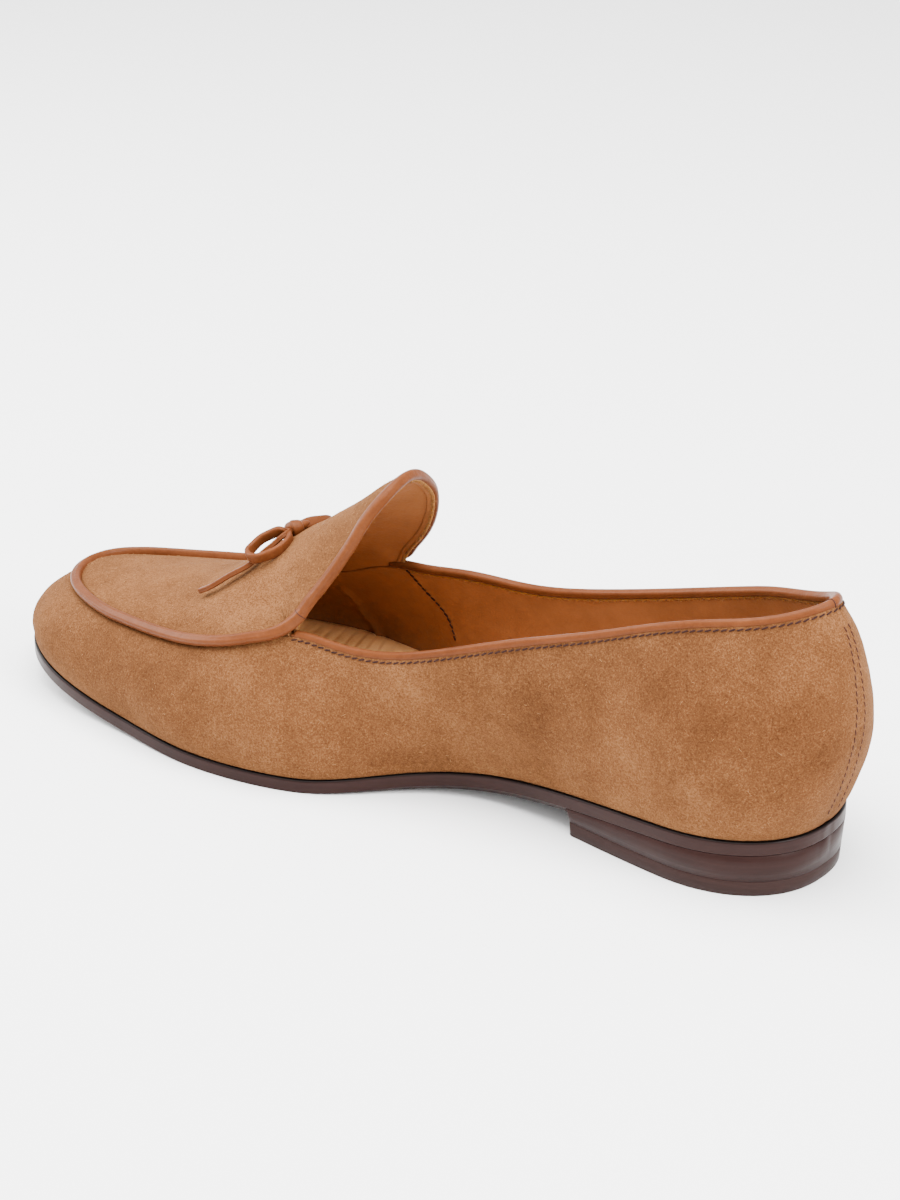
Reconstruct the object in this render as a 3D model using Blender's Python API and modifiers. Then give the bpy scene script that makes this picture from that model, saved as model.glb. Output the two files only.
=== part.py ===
"""A belgian loafer, the right shoe of a pair, in the pieces that it is made from.

Metres, +Z up. +X runs to the toe and +Y to the shoe's inner side, and the origin is on the floor
under the middle of the heel. In the charts, "along" is measured from the back of the sole, so
x = along - HEEL_CENTRE. Each section stands square to a centre line that curves with the foot:
"inner" and "outer" are the distances from that line to the two sides.
"""

import math

import bmesh
import bpy
import numpy as np
from mathutils import Matrix

# Driving sizes
SOLE_LENGTH = 0.295
HEEL_CENTRE = 0.035
HEEL_LENGTH = 0.075
GAP = 0.0003
SOLE_THICKNESS = 0.0045
LIFT_THICKNESS = 0.0050
WALL = 0.0020
SOCK_THICKNESS = 0.0016
BINDING_RADIUS = 0.00175
LACE_RADIUS = 0.0010
LACE_STEP = 0.0020
FEATHER_INSET = 0.0012
HEEL_TAPER = 0.0010
BREAST_RAKE = 0.0012
BREAST_RAMP = 0.0040
BEVEL_MOST = 0.0100
GROOVE_DEPTH = 0.0016
GROOVE_HALF = 0.0030
GROOVE_SEAT = 0.0010
THROAT_STEPS = 4
THROAT = 0.175

# How the stations share the way from the back of the heel to the tip of the toe
HEEL_SHARE = 0.20
TOE_SHARE = 0.25
COLLAR_STATIONS = 23
MIDDLE_SHARE = 1 - HEEL_SHARE - TOE_SHARE
APRON_STATIONS = 20
TONGUE_ROWS = 9
WALL_ROWS = 9
PLUG_COLUMNS = 13
SOLE_STATIONS = 45
SOCK_STATIONS = 35
HEEL_ROUND_STEPS = 14
HEEL_STRAIGHT_STEPS = 7
SEAM_STEPS = 16
ROUTE_STEPS = 8
SLOPE_STEP = 0.0001

INNER, OUTER = 1.0, -1.0


def chart(names, *rows):
    """A short table as arrays under their column names. The first column is the one it is read by."""
    return dict(zip(names.split(), np.array(rows, float).T))


def unit(vectors):
    """The vectors at length 1."""
    return vectors / np.maximum(np.linalg.norm(vectors, axis=-1), 1e-12)[..., None]


SOLE = chart(
    "along centre inner outer",
    (0.000, 0.0058, 0.0310, 0.0310),
    (0.035, 0.0000, 0.0323, 0.0323),
    (0.075, -0.0066, 0.0305, 0.0315),
    (0.108, -0.0105, 0.0300, 0.0285),
    (0.138, -0.0105, 0.0385, 0.0315),
    (0.165, -0.0075, 0.0500, 0.0400),
    (0.190, -0.0040, 0.0525, 0.0480),
    (0.212, -0.0025, 0.0500, 0.0500),
    (0.238, -0.0015, 0.0435, 0.0460),
    (0.265, -0.0005, 0.0395, 0.0405),
    (0.295, 0.0000, 0.0385, 0.0385),
)
SOLE_ENDS = dict(back=0.0, heel=0.039, toe=0.238, front=SOLE_LENGTH, heel_power=2.3, toe_power=2.4)

# Height of the outsole's upper face, and how its underside swells below the waist
SOLE_SIDE = chart(
    "along height bevel belly",
    (0.000, 0.0190, 0.0006, 0.0008),
    (0.035, 0.0176, 0.0008, 0.0014),
    (0.075, 0.0140, 0.0010, 0.0020),
    (0.100, 0.0108, 0.0014, 0.0026),
    (0.130, 0.0077, 0.0012, 0.0018),
    (0.155, 0.0055, 0.0006, 0.0006),
    (0.172, 0.0045, 0.0000, 0.0000),
    (0.210, 0.0045, 0.0000, 0.0000),
    (0.235, 0.0057, 0.0000, 0.0000),
    (0.265, 0.0098, 0.0000, 0.0000),
    (0.295, 0.0163, 0.0000, 0.0000),
)

# The upper's top edge: the collar behind the throat, and the apron seam in front of it
TOP = chart(
    "along centre inner outer inner_height outer_height",
    (0.0028, 0.0030, 0.0200, 0.0230, 0.0893, 0.0893),
    (0.0160, 0.0020, 0.0215, 0.0235, 0.0852, 0.0822),
    (0.0350, 0.0000, 0.0232, 0.0248, 0.0812, 0.0756),
    (0.0650, -0.0030, 0.0268, 0.0280, 0.0711, 0.0651),
    (0.1000, -0.0045, 0.0300, 0.0300, 0.0599, 0.0541),
    (0.1240, -0.0040, 0.0320, 0.0310, 0.0522, 0.0497),
    (0.1450, -0.0025, 0.0325, 0.0315, 0.0473, 0.0497),
    (0.1600, -0.0010, 0.0325, 0.0318, 0.0472, 0.0488),
    (0.1750, 0.0000, 0.0330, 0.0325, 0.0484, 0.0480),
    (0.1920, 0.0010, 0.0375, 0.0355, 0.0440, 0.0420),
    (0.2130, 0.0010, 0.0372, 0.0350, 0.0393, 0.0375),
    (0.2380, 0.0005, 0.0322, 0.0310, 0.0369, 0.0345),
    (0.2620, -0.0003, 0.0280, 0.0278, 0.0355, 0.0333),
    (0.2800, -0.0005, 0.0272, 0.0272, 0.0347, 0.0347),
)
TOP_ENDS = dict(back=0.0028, heel=0.045, toe=0.240, front=0.2800, heel_power=1.85, toe_power=2.0)

# How the wall swells between the sole and its top edge: handles of its curve, outward and upward
SWELL = chart(
    "along low_out low_up high_out high_down",
    (0.000, 0.0105, 0.0200, 0.0160, 0.0230),
    (0.035, 0.0075, 0.0180, 0.0100, 0.0210),
    (0.075, 0.0052, 0.0150, 0.0055, 0.0180),
    (0.110, 0.0045, 0.0130, 0.0050, 0.0150),
    (0.145, 0.0040, 0.0120, 0.0070, 0.0120),
    (0.175, 0.0050, 0.0120, 0.0095, 0.0110),
    (0.210, 0.0055, 0.0120, 0.0095, 0.0090),
    (0.245, 0.0050, 0.0100, 0.0090, 0.0065),
    (0.295, 0.0040, 0.0090, 0.0100, 0.0050),
)

# The tongue's free edge, from the throat up to its tip. Skew turns it: the inner edge is ahead
TONGUE = chart(
    "rise along height half skew",
    (0.00, 0.1750, 0.0482, 0.0328, 0.0000),
    (0.15, 0.1722, 0.0553, 0.0305, 0.0010),
    (0.32, 0.1664, 0.0632, 0.0270, 0.0020),
    (0.50, 0.1606, 0.0722, 0.0230, 0.0025),
    (0.68, 0.1565, 0.0814, 0.0186, 0.0022),
    (0.85, 0.1545, 0.0888, 0.0148, 0.0015),
    (1.00, 0.1530, 0.0947, 0.0132, 0.0000),
)
TONGUE_ROUND_FROM = 0.72

# How the plug arches over the line between its two edges, and how far that arch leans forward
CREST = chart(
    "place arch lean",
    (-1.00, 0.0000, 0.66),
    (-0.85, 0.0045, 0.67),
    (-0.68, 0.0089, 0.68),
    (-0.50, 0.0136, 0.68),
    (-0.32, 0.0176, 0.68),
    (-0.15, 0.0209, 0.67),
    (0.00, 0.0241, 0.66),
    (0.08, 0.0216, 0.64),
    (0.17, 0.0167, 0.58),
    (0.26, 0.0115, 0.45),
    (0.38, 0.0078, 0.30),
    (0.58, 0.0052, 0.20),
    (0.79, 0.0030, 0.15),
    (0.93, 0.0012, 0.10),
    (1.00, 0.0000, 0.10),
)
ARCH_POWER = 2.1


def smooth(rows, column, places):
    """The natural cubic curve through one column of a chart, read at the given places."""
    keys, values = next(iter(rows.values())), rows[column]
    step, count = np.diff(keys), len(keys)
    bend = np.eye(count)
    turn = np.zeros(count)
    for i in range(1, count - 1):
        bend[i, i - 1 : i + 2] = step[i - 1], 2 * (step[i - 1] + step[i]), step[i]
        turn[i] = 6 * ((values[i + 1] - values[i]) / step[i] - (values[i] - values[i - 1]) / step[i - 1])
    second = np.linalg.solve(bend, turn)
    places = np.clip(np.asarray(places, float), keys[0], keys[-1])
    i = np.clip(np.searchsorted(keys, places) - 1, 0, count - 2)
    left, right, width = keys[i + 1] - places, places - keys[i], step[i]
    curve = (second[i] * left**3 + second[i + 1] * right**3) / (6 * width)
    curve += (values[i] / width - second[i] * width / 6) * left
    return curve + (values[i + 1] / width - second[i + 1] * width / 6) * right


def travel(share, ends):
    """Place along the shoe at a share of its length: even steps of angle round the heel and the toe."""
    heel = ends["back"] + (ends["heel"] - ends["back"]) * (1 - np.cos(math.pi / 2 * share / HEEL_SHARE))
    middle = (share - HEEL_SHARE) / MIDDLE_SHARE
    middle = ends["heel"] + (ends["toe"] - ends["heel"]) * middle
    toe = np.sin(math.pi / 2 * np.clip((share - 1 + TOE_SHARE) / TOE_SHARE, 0, 1))
    toe = ends["toe"] + (ends["front"] - ends["toe"]) * toe
    return np.where(share < HEEL_SHARE, heel, np.where(share > 1 - TOE_SHARE, toe, middle))


def fullness(along, ends):
    """1 along the sides, and the quarter of a superellipse down to 0 at the back and at the tip."""
    back = np.clip((ends["heel"] - along) / (ends["heel"] - ends["back"]), 0, 1)
    front = np.clip((along - ends["toe"]) / (ends["front"] - ends["toe"]), 0, 1)
    back = (1 - back ** ends["heel_power"]) ** (1 / ends["heel_power"])
    return back * (1 - front ** ends["toe_power"]) ** (1 / ends["toe_power"])


def edge(rows, ends, along, side, inset=0.0):
    """Points of an outline on one side, in plan, square to its centre line at the places along."""
    slope = (smooth(rows, "centre", along + SLOPE_STEP) - smooth(rows, "centre", along - SLOPE_STEP)) / (2 * SLOPE_STEP)
    square = np.stack([-slope, np.ones_like(slope)], -1) / np.sqrt(1 + slope**2)[:, None]
    half = (smooth(rows, "inner" if side == INNER else "outer", along) - inset) * fullness(along, ends)
    return np.stack([along - HEEL_CENTRE, smooth(rows, "centre", along)], -1) + side * half[:, None] * square


def side_of(rows, ends, share, side, inset=0.0):
    """One side of an outline drawn in by an inset: its points in plan, and the place along of each."""
    ends = dict(ends, back=ends["back"] + inset, front=ends["front"] - inset)
    along = travel(share, ends)
    return edge(rows, ends, along, side, inset), along


def sole_height(along):
    """Height of the outsole's upper face, level across the shoe, with a flat spot under the ball."""
    return np.maximum(smooth(SOLE_SIDE, "height", along), SOLE_THICKNESS)


def waist(column, along):
    """A column of the waist's chart, which starts at the heel's breast and ends before the ball."""
    return np.maximum(smooth(SOLE_SIDE, column, along), 0) * np.clip((along - HEEL_LENGTH) / BREAST_RAMP, 0, 1)


def sole_ring(share, inset=0.0, drop=0.0):
    """A closed ring round the sole, heel to toe on the inner side and back on the outer side."""
    sides = []
    for side in (INNER, OUTER):
        plan, along = side_of(SOLE, SOLE_ENDS, share, side, inset)
        sides.append(np.column_stack([plan, sole_height(along) - drop]))
    return np.concatenate([sides[0], sides[1][-2:0:-1]])


def add_object(name, vertices, faces, material):
    """A mesh object of its own, with its doubles merged and its faces turned outward."""
    mesh = bpy.data.meshes.new(name)
    mesh.from_pydata([tuple(map(float, v)) for v in vertices], [], [tuple(map(int, f)) for f in faces])
    shape = bmesh.new()
    shape.from_mesh(mesh)
    bmesh.ops.remove_doubles(shape, verts=shape.verts, dist=1e-6)
    bmesh.ops.recalc_face_normals(shape, faces=shape.faces)
    shape.to_mesh(mesh)
    shape.free()
    mesh.materials.append(material)
    mesh.shade_smooth()
    mesh.set_sharp_from_angle(angle=math.radians(40))
    thing = bpy.data.objects.new(name, mesh)
    SHOE.objects.link(thing)
    return thing


def finish(name, colour, roughness, coat=0.0):
    """A Principled material."""
    material = bpy.data.materials.new(name)
    material.use_nodes = True
    shader = material.node_tree.nodes["Principled BSDF"]
    shader.inputs["Base Color"].default_value = (*colour, 1.0)
    shader.inputs["Roughness"].default_value = roughness
    shader.inputs["Metallic"].default_value = 0.0
    shader.inputs["Coat Weight"].default_value = coat
    return material


def stacked(rings):
    """Vertices and faces of rings laid one over another, closed across the shoe at both ends.

    Each ring runs up the inner side and back along the outer side, so a lid is a row of strips
    between the points that face each other across the shoe, with a triangle where the ring starts
    and, on a ring of even count, one where it turns back.
    """
    count = len(rings[0])
    faces = []
    for level in range(len(rings) - 1):
        low, high = level * count, (level + 1) * count
        for i in range(count):
            j = (i + 1) % count
            faces.append((low + i, low + j, high + j, high + i))
    turn = (count + 1) // 2
    for base in (0, (len(rings) - 1) * count):
        faces.append((base, base + 1, base + count - 1))
        for i in range(1, turn - 1):
            faces.append((base + i, base + i + 1, base + count - i - 1, base + count - i))
        if count % 2 == 0:
            faces.append((base + turn - 1, base + turn, base + turn + 1))
    return np.concatenate(rings), faces


def outsole(material):
    """The leather outsole: even at its edge, swelling below the waist, with arch, flat ball and toe spring."""
    share = np.linspace(0, 1, SOLE_STATIONS)
    start = HEEL_SHARE + (HEEL_LENGTH - SOLE_ENDS["heel"]) * MIDDLE_SHARE / (SOLE_ENDS["toe"] - SOLE_ENDS["heel"])
    share = np.sort(np.concatenate([share[np.abs(share - start) > 0.012], [start, start + 0.011]]))
    top, side = sole_ring(share), sole_ring(share, drop=SOLE_THICKNESS)
    along = travel(np.concatenate([share, share[-2:0:-1]]), SOLE_ENDS)
    inward = np.column_stack([top[:, 0], smooth(SOLE, "centre", along)]) - top[:, :2]
    bevel, belly = waist("bevel", along), waist("belly", along)
    rings = [top, side]
    for reach, depth in ((1.0, 0.75), (6.0, 1.0)):
        ring = side.copy()
        ring[:, :2] += unit(inward) * np.minimum(bevel * reach, BEVEL_MOST)[:, None]
        ring[:, 2] -= belly * depth
        rings.append(ring)
    return add_object("outsole", *stacked(rings), material)


def heel_ring(inset, breast):
    """A closed D round the heel in plan, with its straight breast at the given place along."""
    ends = dict(SOLE_ENDS, back=SOLE_ENDS["back"] + inset)
    turn = np.linspace(0, math.pi / 2, HEEL_ROUND_STEPS)
    along = ends["back"] + (ends["heel"] - ends["back"]) * (1 - np.cos(turn))
    along = np.concatenate([along, np.linspace(ends["heel"], breast, HEEL_STRAIGHT_STEPS)[1:]])
    inner, outer = (edge(SOLE, ends, along, side, inset) for side in (INNER, OUTER))
    return np.concatenate([inner, outer[:0:-1]]), np.concatenate([along, along[:0:-1]])


def heel_block(name, material, levels):
    """A slab of the heel between two levels. Each level gives an inset, a breast and a height function."""
    rings = []
    for inset, breast, height in levels:
        plan, along = heel_ring(inset, breast)
        rings.append(np.column_stack([plan, height(along)]))
    return add_object(name, *stacked(rings), material)


def shares():
    """Shares of the way from heel to toe: the throat is a station, so that the collar ends on one."""
    span = MIDDLE_SHARE / (TOP_ENDS["toe"] - TOP_ENDS["heel"])
    throat = HEEL_SHARE + (THROAT - TOP_ENDS["heel"]) * span
    collar = np.linspace(0, throat, COLLAR_STATIONS)
    return np.concatenate([collar, np.linspace(throat, 1, APRON_STATIONS)[1:]])


def top_edge(share, side):
    """The upper's top edge on one side, as points."""
    plan, along = side_of(TOP, TOP_ENDS, share, side)
    height = smooth(TOP, "inner_height" if side == INNER else "outer_height", along)
    blend = np.clip((share - 0.9) / 0.1, 0, 1)
    middle = (smooth(TOP, "inner_height", along) + smooth(TOP, "outer_height", along)) / 2
    return np.column_stack([plan, height * (1 - blend) + middle * blend])


def wall_grid(share, side):
    """One side of the wall: at each station a cubic curve from the sole's feather line to the top edge."""
    plan, along = side_of(SOLE, SOLE_ENDS, share, side, FEATHER_INSET)
    foot = np.column_stack([plan, sole_height(along) + GAP])
    head = top_edge(share, side)
    step = np.gradient(plan, axis=0)
    out = np.stack([-step[:, 1], step[:, 0]], -1) * side
    out[0], out[-1] = (-1, 0), (1, 0)
    out = np.column_stack([out / np.linalg.norm(out, axis=1)[:, None], np.zeros(len(out))])
    up = np.array([0, 0, 1.0])
    handles = {name: smooth(SWELL, name, along)[:, None] for name in list(SWELL)[1:]}
    low = foot + out * handles["low_out"] + up * handles["low_up"]
    high = head + out * handles["high_out"] - up * handles["high_down"]
    tall = np.linalg.norm(head - foot, axis=1)
    last = 1 - GROOVE_HALF / tall
    rows = np.concatenate([np.linspace(0, 1, WALL_ROWS)[:-1, None] * last[None, :], last[None, :]])
    t = np.concatenate([rows, np.ones((1, len(share)))])[:, :, None]
    return foot * (1 - t) ** 3 + 3 * low * t * (1 - t) ** 2 + 3 * high * t**2 * (1 - t) + head * t**3


def tongue_edge(rise, side):
    """The tongue's free edge on one side. Its half width closes as an ellipse towards the tip."""
    rounding = np.clip((rise - TONGUE_ROUND_FROM) / (1 - TONGUE_ROUND_FROM), 0, 1)
    full = np.sqrt(1 - rounding**2)
    half = smooth(TONGUE, "half", rise) * full
    along = smooth(TONGUE, "along", rise) + side * smooth(TONGUE, "skew", rise) * full
    return np.column_stack([along - HEEL_CENTRE, side * half, smooth(TONGUE, "height", rise)])


def plug_grid(share):
    """The apron and tongue: rows from the tongue's tip to the toe, arched between their two edges."""
    turn = np.linspace(0, math.pi / 2, TONGUE_ROWS // 2 + 1)
    rise = 1 - (1 - TONGUE_ROUND_FROM) * (1 - np.sin(math.pi / 2 - turn))
    rise = np.concatenate([rise, np.linspace(TONGUE_ROUND_FROM, 0, TONGUE_ROWS // 2 + 2)[1:-1]])
    ahead = share[COLLAR_STATIONS - 1 :]
    edges = [np.concatenate([tongue_edge(rise, side), top_edge(ahead, side)]) for side in (INNER, OUTER)]
    place = np.concatenate([-rise, (ahead - ahead[0]) / (1 - ahead[0])])
    arch, lean = smooth(CREST, "arch", place), smooth(CREST, "lean", place)
    normal = np.column_stack([lean, np.zeros_like(lean), np.sqrt(1 - lean**2)])
    middle, reach = (edges[0] + edges[1]) / 2, (edges[0] - edges[1]) / 2
    wide = np.maximum(np.linalg.norm(reach, axis=1), 1e-6)
    near = np.maximum(1 - GROOVE_HALF / wide, 0.6)
    inside = np.linspace(-1, 1, PLUG_COLUMNS)
    across = np.column_stack([-np.ones_like(near), near[:, None] * inside, np.ones_like(near)])[:, :, None]
    rise_over = arch[:, None, None] * (1 - np.abs(across) ** ARCH_POWER)
    return middle[:, None] + across * reach[:, None] + rise_over * normal[:, None]


def grid_faces(rows, columns, start=0):
    """Quads of a grid whose vertices are stored row by row."""
    i, j = np.meshgrid(np.arange(rows - 1), np.arange(columns - 1), indexing="ij")
    a = (start + i * columns + j).ravel()
    return np.column_stack([a, a + 1, a + columns + 1, a + columns])


def seam_of(wall, plug, side, beside):
    """The apron seam on one side: its points, the outward normal at each, and how far the groove has begun."""
    seam = wall[-1, COLLAR_STATIONS - 1 :]
    down = unit(wall[-2, COLLAR_STATIONS - 1 :] - seam)
    over = unit(plug[-APRON_STATIONS:, beside] - seam)
    run = unit(np.gradient(seam, axis=0))
    normal = unit(np.cross(run, down) + np.cross(over, run)) * side
    normal[-1] = unit(np.array([0.6, 0, 0.8]))
    normal[-2] = unit(normal[-2] + normal[-1])
    ramp = np.clip(np.arange(APRON_STATIONS) / THROAT_STEPS, 0, 1)
    return seam.copy(), normal, ramp[:, None]


def sink(points, seats):
    """Lowers the points near the seam, in a V whose bottom is the seam, so that the binding beds in it."""
    lines = [np.concatenate([seam, normal, ramp], axis=1) for seam, normal, ramp in seats.values()]
    step = np.linspace(0, 1, SEAM_STEPS, endpoint=False)[:, None, None]
    dense = np.concatenate([(line[:-1] * (1 - step) + line[1:] * step).reshape(-1, 7) for line in lines])
    dense = np.concatenate([dense] + [line[-1:] for line in lines])
    flat = points.reshape(-1, 3)
    apart = np.linalg.norm(flat[:, None] - dense[None, :, :3], axis=2)
    nearest = dense[apart.argmin(1)]
    depth = GROOVE_DEPTH * np.clip(1 - apart.min(1) / GROOVE_HALF, 0, 1) * nearest[:, 6]
    return (flat - unit(nearest[:, 3:6]) * depth[:, None]).reshape(points.shape)


def skin():
    """The upper's outer surface, as two wall grids and a plug grid, with the groove under its binding."""
    share = shares()
    walls = {side: wall_grid(share, side) for side in (INNER, OUTER)}
    plug = plug_grid(share)
    tip = (walls[INNER][-1, -1] + walls[OUTER][-1, -1]) / 2
    for side, column in ((INNER, -1), (OUTER, 0)):
        walls[side][-1, -1] = tip
        plug[-APRON_STATIONS:, column] = walls[side][-1, COLLAR_STATIONS - 1 :]
    plug[-1] = tip
    seats = {INNER: seam_of(walls[INNER], plug, INNER, -2), OUTER: seam_of(walls[OUTER], plug, OUTER, 1)}
    walls = {side: sink(wall, seats) for side, wall in walls.items()}
    return walls, sink(plug, seats), seats


def upper(material, surface):
    """The lined suede upper: one wall round the foot, joined to the apron and tongue along the seam."""
    walls, plug, _ = surface
    vertices, faces, start = [], [], 0
    for grid in (walls[INNER], walls[OUTER], plug):
        rows, columns = grid.shape[:2]
        vertices.append(grid.reshape(-1, 3))
        faces.append(grid_faces(rows, columns, start))
        start += rows * columns
    thing = add_object("upper", np.concatenate(vertices), np.concatenate(faces), material)
    wall = thing.modifiers.new("Wall", "SOLIDIFY")
    wall.thickness = WALL
    wall.offset = -1
    wall.use_even_offset = True
    wall.use_quality_normals = True
    return thing


def sock(material):
    """The leather sock on the outsole, clear of the wall's inner face all round."""
    share = np.linspace(0, 1, SOCK_STATIONS)
    inset = FEATHER_INSET + WALL + 2 * GAP
    low = sole_ring(share, inset, -GAP)
    high = sole_ring(share, inset, -GAP - SOCK_THICKNESS)
    return add_object("insole", *stacked([low, high]), material)


def rolled(name, points, radius, material, closed=False):
    """A rolled strip or lace: a round tube along the points."""
    line = bpy.data.curves.new(name, "CURVE")
    line.dimensions = "3D"
    line.bevel_depth = radius
    line.bevel_resolution = 2
    line.use_fill_caps = True
    spline = line.splines.new("POLY")
    spline.points.add(len(points) - 1)
    spline.points.foreach_set("co", np.column_stack([points, np.ones(len(points))]).ravel())
    spline.use_cyclic_u = closed
    line.materials.append(material)
    thing = bpy.data.objects.new(name, line)
    SHOE.objects.link(thing)
    return thing


def apron_route(surface):
    """Middle of the binding round the plug: on the tongue's rim, then in the seam's groove to the toe."""
    _, plug, seats = surface
    free_rows = len(plug) - APRON_STATIONS
    stand = BINDING_RADIUS + GAP
    route = []
    for side, column, beside in ((INNER, -1, -2), (OUTER, 0, 1)):
        seam, normal, ramp = seats[side]
        rim = np.concatenate([plug[:free_rows, column], seam])
        away = rim - plug[:, beside]
        away[0] = plug[0, column] - plug[2].mean(0)
        run = unit(np.gradient(rim, axis=0))
        run[0] = (0, side, 0)
        rimward = unit(away - (away * run).sum(1)[:, None] * run)
        turn = np.clip((np.arange(free_rows) - free_rows) / THROAT_STEPS + 1, 0, 1)[:, None]
        rimward[:free_rows] = unit(rimward[:free_rows] * (1 - turn) + normal[0] * turn)
        rimward[free_rows:] = normal
        height = np.full((len(rim), 1), stand + GAP)
        height[free_rows:] -= ramp * GROOVE_SEAT
        route.append(rim + rimward * height)
    return np.concatenate([route[0], route[1][-2:0:-1]])


def between(points, count, closed=False):
    """The points with others set evenly between each pair, so that count steps replace one."""
    step = np.linspace(0, 1, count, endpoint=False)[None, :, None]
    ahead = np.roll(points, -1, axis=0) if closed else points[1:]
    start = points if closed else points[:-1]
    dense = (start[:, None] * (1 - step) + ahead[:, None] * step).reshape(-1, 3)
    return dense if closed else np.concatenate([dense, points[-1:]])


def collar_route(surface, apron):
    """Middle of the binding on the collar's rim, between its two ends against the binding of the apron."""
    walls = surface[0]
    sides = []
    for side in (INNER, OUTER):
        rim = walls[side][-1, :COLLAR_STATIONS]
        below = walls[side][-2, :COLLAR_STATIONS]
        sides.append(rim + unit(rim - below) * (BINDING_RADIUS + GAP))
    route = between(np.concatenate([sides[0][::-1], sides[1][1:]]), ROUTE_STEPS)
    apart = np.linalg.norm(route[:, None] - between(apron, SEAM_STEPS, closed=True)[None], axis=2).min(1)
    free = np.flatnonzero(apart > 2 * BINDING_RADIUS + 2 * GAP)
    first, last = free[0], free[-1]
    kept = [i for i in range(0, len(route), ROUTE_STEPS) if first + 2 < i < last - 2]
    return route[[first, *kept, last]]


# The bow on the apron. Each piece of its lace is a few points of the lace's middle, in millimetres
BOW_LACES = {
    "bow_loop_inner": (
        (160.6, 4.9, 68.7),
        (163.1, 6.4, 67.6),
        (165.9, 9.5, 65.8),
        (166.8, 12.3, 64.2),
        (166.8, 14.6, 63.5),
        (164.7, 17.2, 63.2),
        (161.8, 17.6, 63.4),
        (159.9, 15.8, 63.9),
        (157.4, 13.2, 65.0),
        (155.9, 10.4, 66.4),
        (155.6, 8.0, 67.3),
    ),
    "bow_loop_outer": (
        (156.4, -5.9, 68.6),
        (155.2, -8.3, 68.3),
        (154.4, -10.8, 67.8),
        (154.3, -13.6, 66.6),
        (155.4, -16.8, 63.8),
        (158.0, -18.6, 61.2),
        (160.8, -17.8, 60.4),
        (161.6, -14.8, 61.8),
        (161.0, -11.4, 63.9),
        (160.0, -8.6, 65.6),
    ),
    "bow_tail_inner": (
        (158.9, 6.6, 67.8),
        (159.8, 8.2, 66.7),
        (160.9, 10.0, 65.3),
        (162.4, 12.0, 63.7),
        (164.2, 14.1, 61.5),
        (165.6, 16.4, 59.8),
        (169.5, 19.2, 57.1),
        (172.7, 20.9, 54.8),
        (175.7, 22.8, 52.5),
        (180.2, 23.4, 49.9),
    ),
    "bow_tail_outer": (
        (160.9, -4.6, 66.4),
        (163.8, -8.6, 63.3),
        (167.0, -12.2, 59.2),
        (171.0, -15.6, 54.7),
        (175.4, -18.6, 50.4),
        (180.0, -20.6, 47.4),
        (183.6, -21.4, 45.6),
    ),
}
KNOT_CENTRE = (0.1585, 0.0, 0.0680)
KNOT_ALONG = np.array([0.45, 0.86, -0.22])
KNOT_OUT = np.array([0.62, 0.0, 0.78])
KNOT_HALVES = (0.0024, 0.0019, 0.0046)


def lace(name, points, material):
    """A piece of the bow's lace: a tube along the smooth curve through its points."""
    points = np.array(points) / 1000
    far = np.concatenate([[0], np.cumsum(np.linalg.norm(np.diff(points, axis=0), axis=1))])
    rows = dict(far=far, x=points[:, 0], y=points[:, 1], z=points[:, 2])
    places = np.linspace(0, far[-1], round(far[-1] / LACE_STEP))
    curve = np.column_stack([smooth(rows, axis, places) for axis in "xyz"])
    return rolled(name, curve, LACE_RADIUS, material)


def knot(material):
    """The knot of the bow: a ball drawn out along the lace round it and pressed flat on the apron."""
    along = unit(KNOT_ALONG)
    out = unit(KNOT_OUT - along * (KNOT_OUT @ along))
    axes = np.column_stack([np.cross(out, along), out, along]) * KNOT_HALVES
    shape = bmesh.new()
    bmesh.ops.create_uvsphere(shape, u_segments=16, v_segments=10, radius=1.0)
    bmesh.ops.transform(shape, matrix=Matrix(axes.tolist()).to_4x4(), verts=shape.verts)
    mesh = bpy.data.meshes.new("bow_knot")
    shape.to_mesh(mesh)
    shape.free()
    mesh.materials.append(material)
    mesh.shade_smooth()
    thing = bpy.data.objects.new("bow_knot", mesh)
    thing.location = KNOT_CENTRE
    SHOE.objects.link(thing)
    return thing


def main():
    leather = finish("binding_leather", (0.30, 0.115, 0.045), 0.35, 0.2)
    suede = finish("suede", (0.36, 0.175, 0.075), 0.95)
    dark = finish("sole_leather", (0.060, 0.028, 0.022), 0.35, 0.3)
    rubber = finish("lift_rubber", (0.050, 0.030, 0.026), 0.55)
    tan = finish("sock_leather", (0.50, 0.27, 0.12), 0.6)
    outsole(dark)
    under = lambda along: sole_height(along) - SOLE_THICKNESS - GAP
    level = lambda height: lambda along: np.full_like(along, height)
    breast_top = HEEL_LENGTH
    breast_low = HEEL_LENGTH - BREAST_RAKE
    heel_block(
        "heel_stack",
        dark,
        [(HEEL_TAPER * 0.7, breast_low, level(LIFT_THICKNESS + GAP)), (0.0, breast_top, under)],
    )
    heel_block(
        "top_lift",
        rubber,
        [(HEEL_TAPER, breast_low, level(0.0)), (HEEL_TAPER * 0.7, breast_low, level(LIFT_THICKNESS))],
    )
    surface = skin()
    upper(suede, surface)
    sock(tan)
    apron = apron_route(surface)
    rolled("apron_binding", apron, BINDING_RADIUS, leather, closed=True)
    rolled("collar_binding", collar_route(surface, apron), BINDING_RADIUS, leather)
    knot(leather)
    for name, points in BOW_LACES.items():
        lace(name, points, leather)


for old in list(bpy.data.objects):
    bpy.data.objects.remove(old, do_unlink=True)
SHOE = bpy.data.collections.new("belgian_loafer")
bpy.context.scene.collection.children.link(SHOE)
main()
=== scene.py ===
"""The looks of a belgian loafer, the right shoe of a pair: suede, linings, rolled bindings, bow and sole.

Metres, +Z up, +X to the toe and +Y to the shoe's inner side. The origin is on the floor under the
middle of the heel. Each section makes one piece of the shoe, in the order that it is put together.
"""

import math

import bmesh
import bpy
import numpy as np
from mathutils import Matrix


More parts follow.
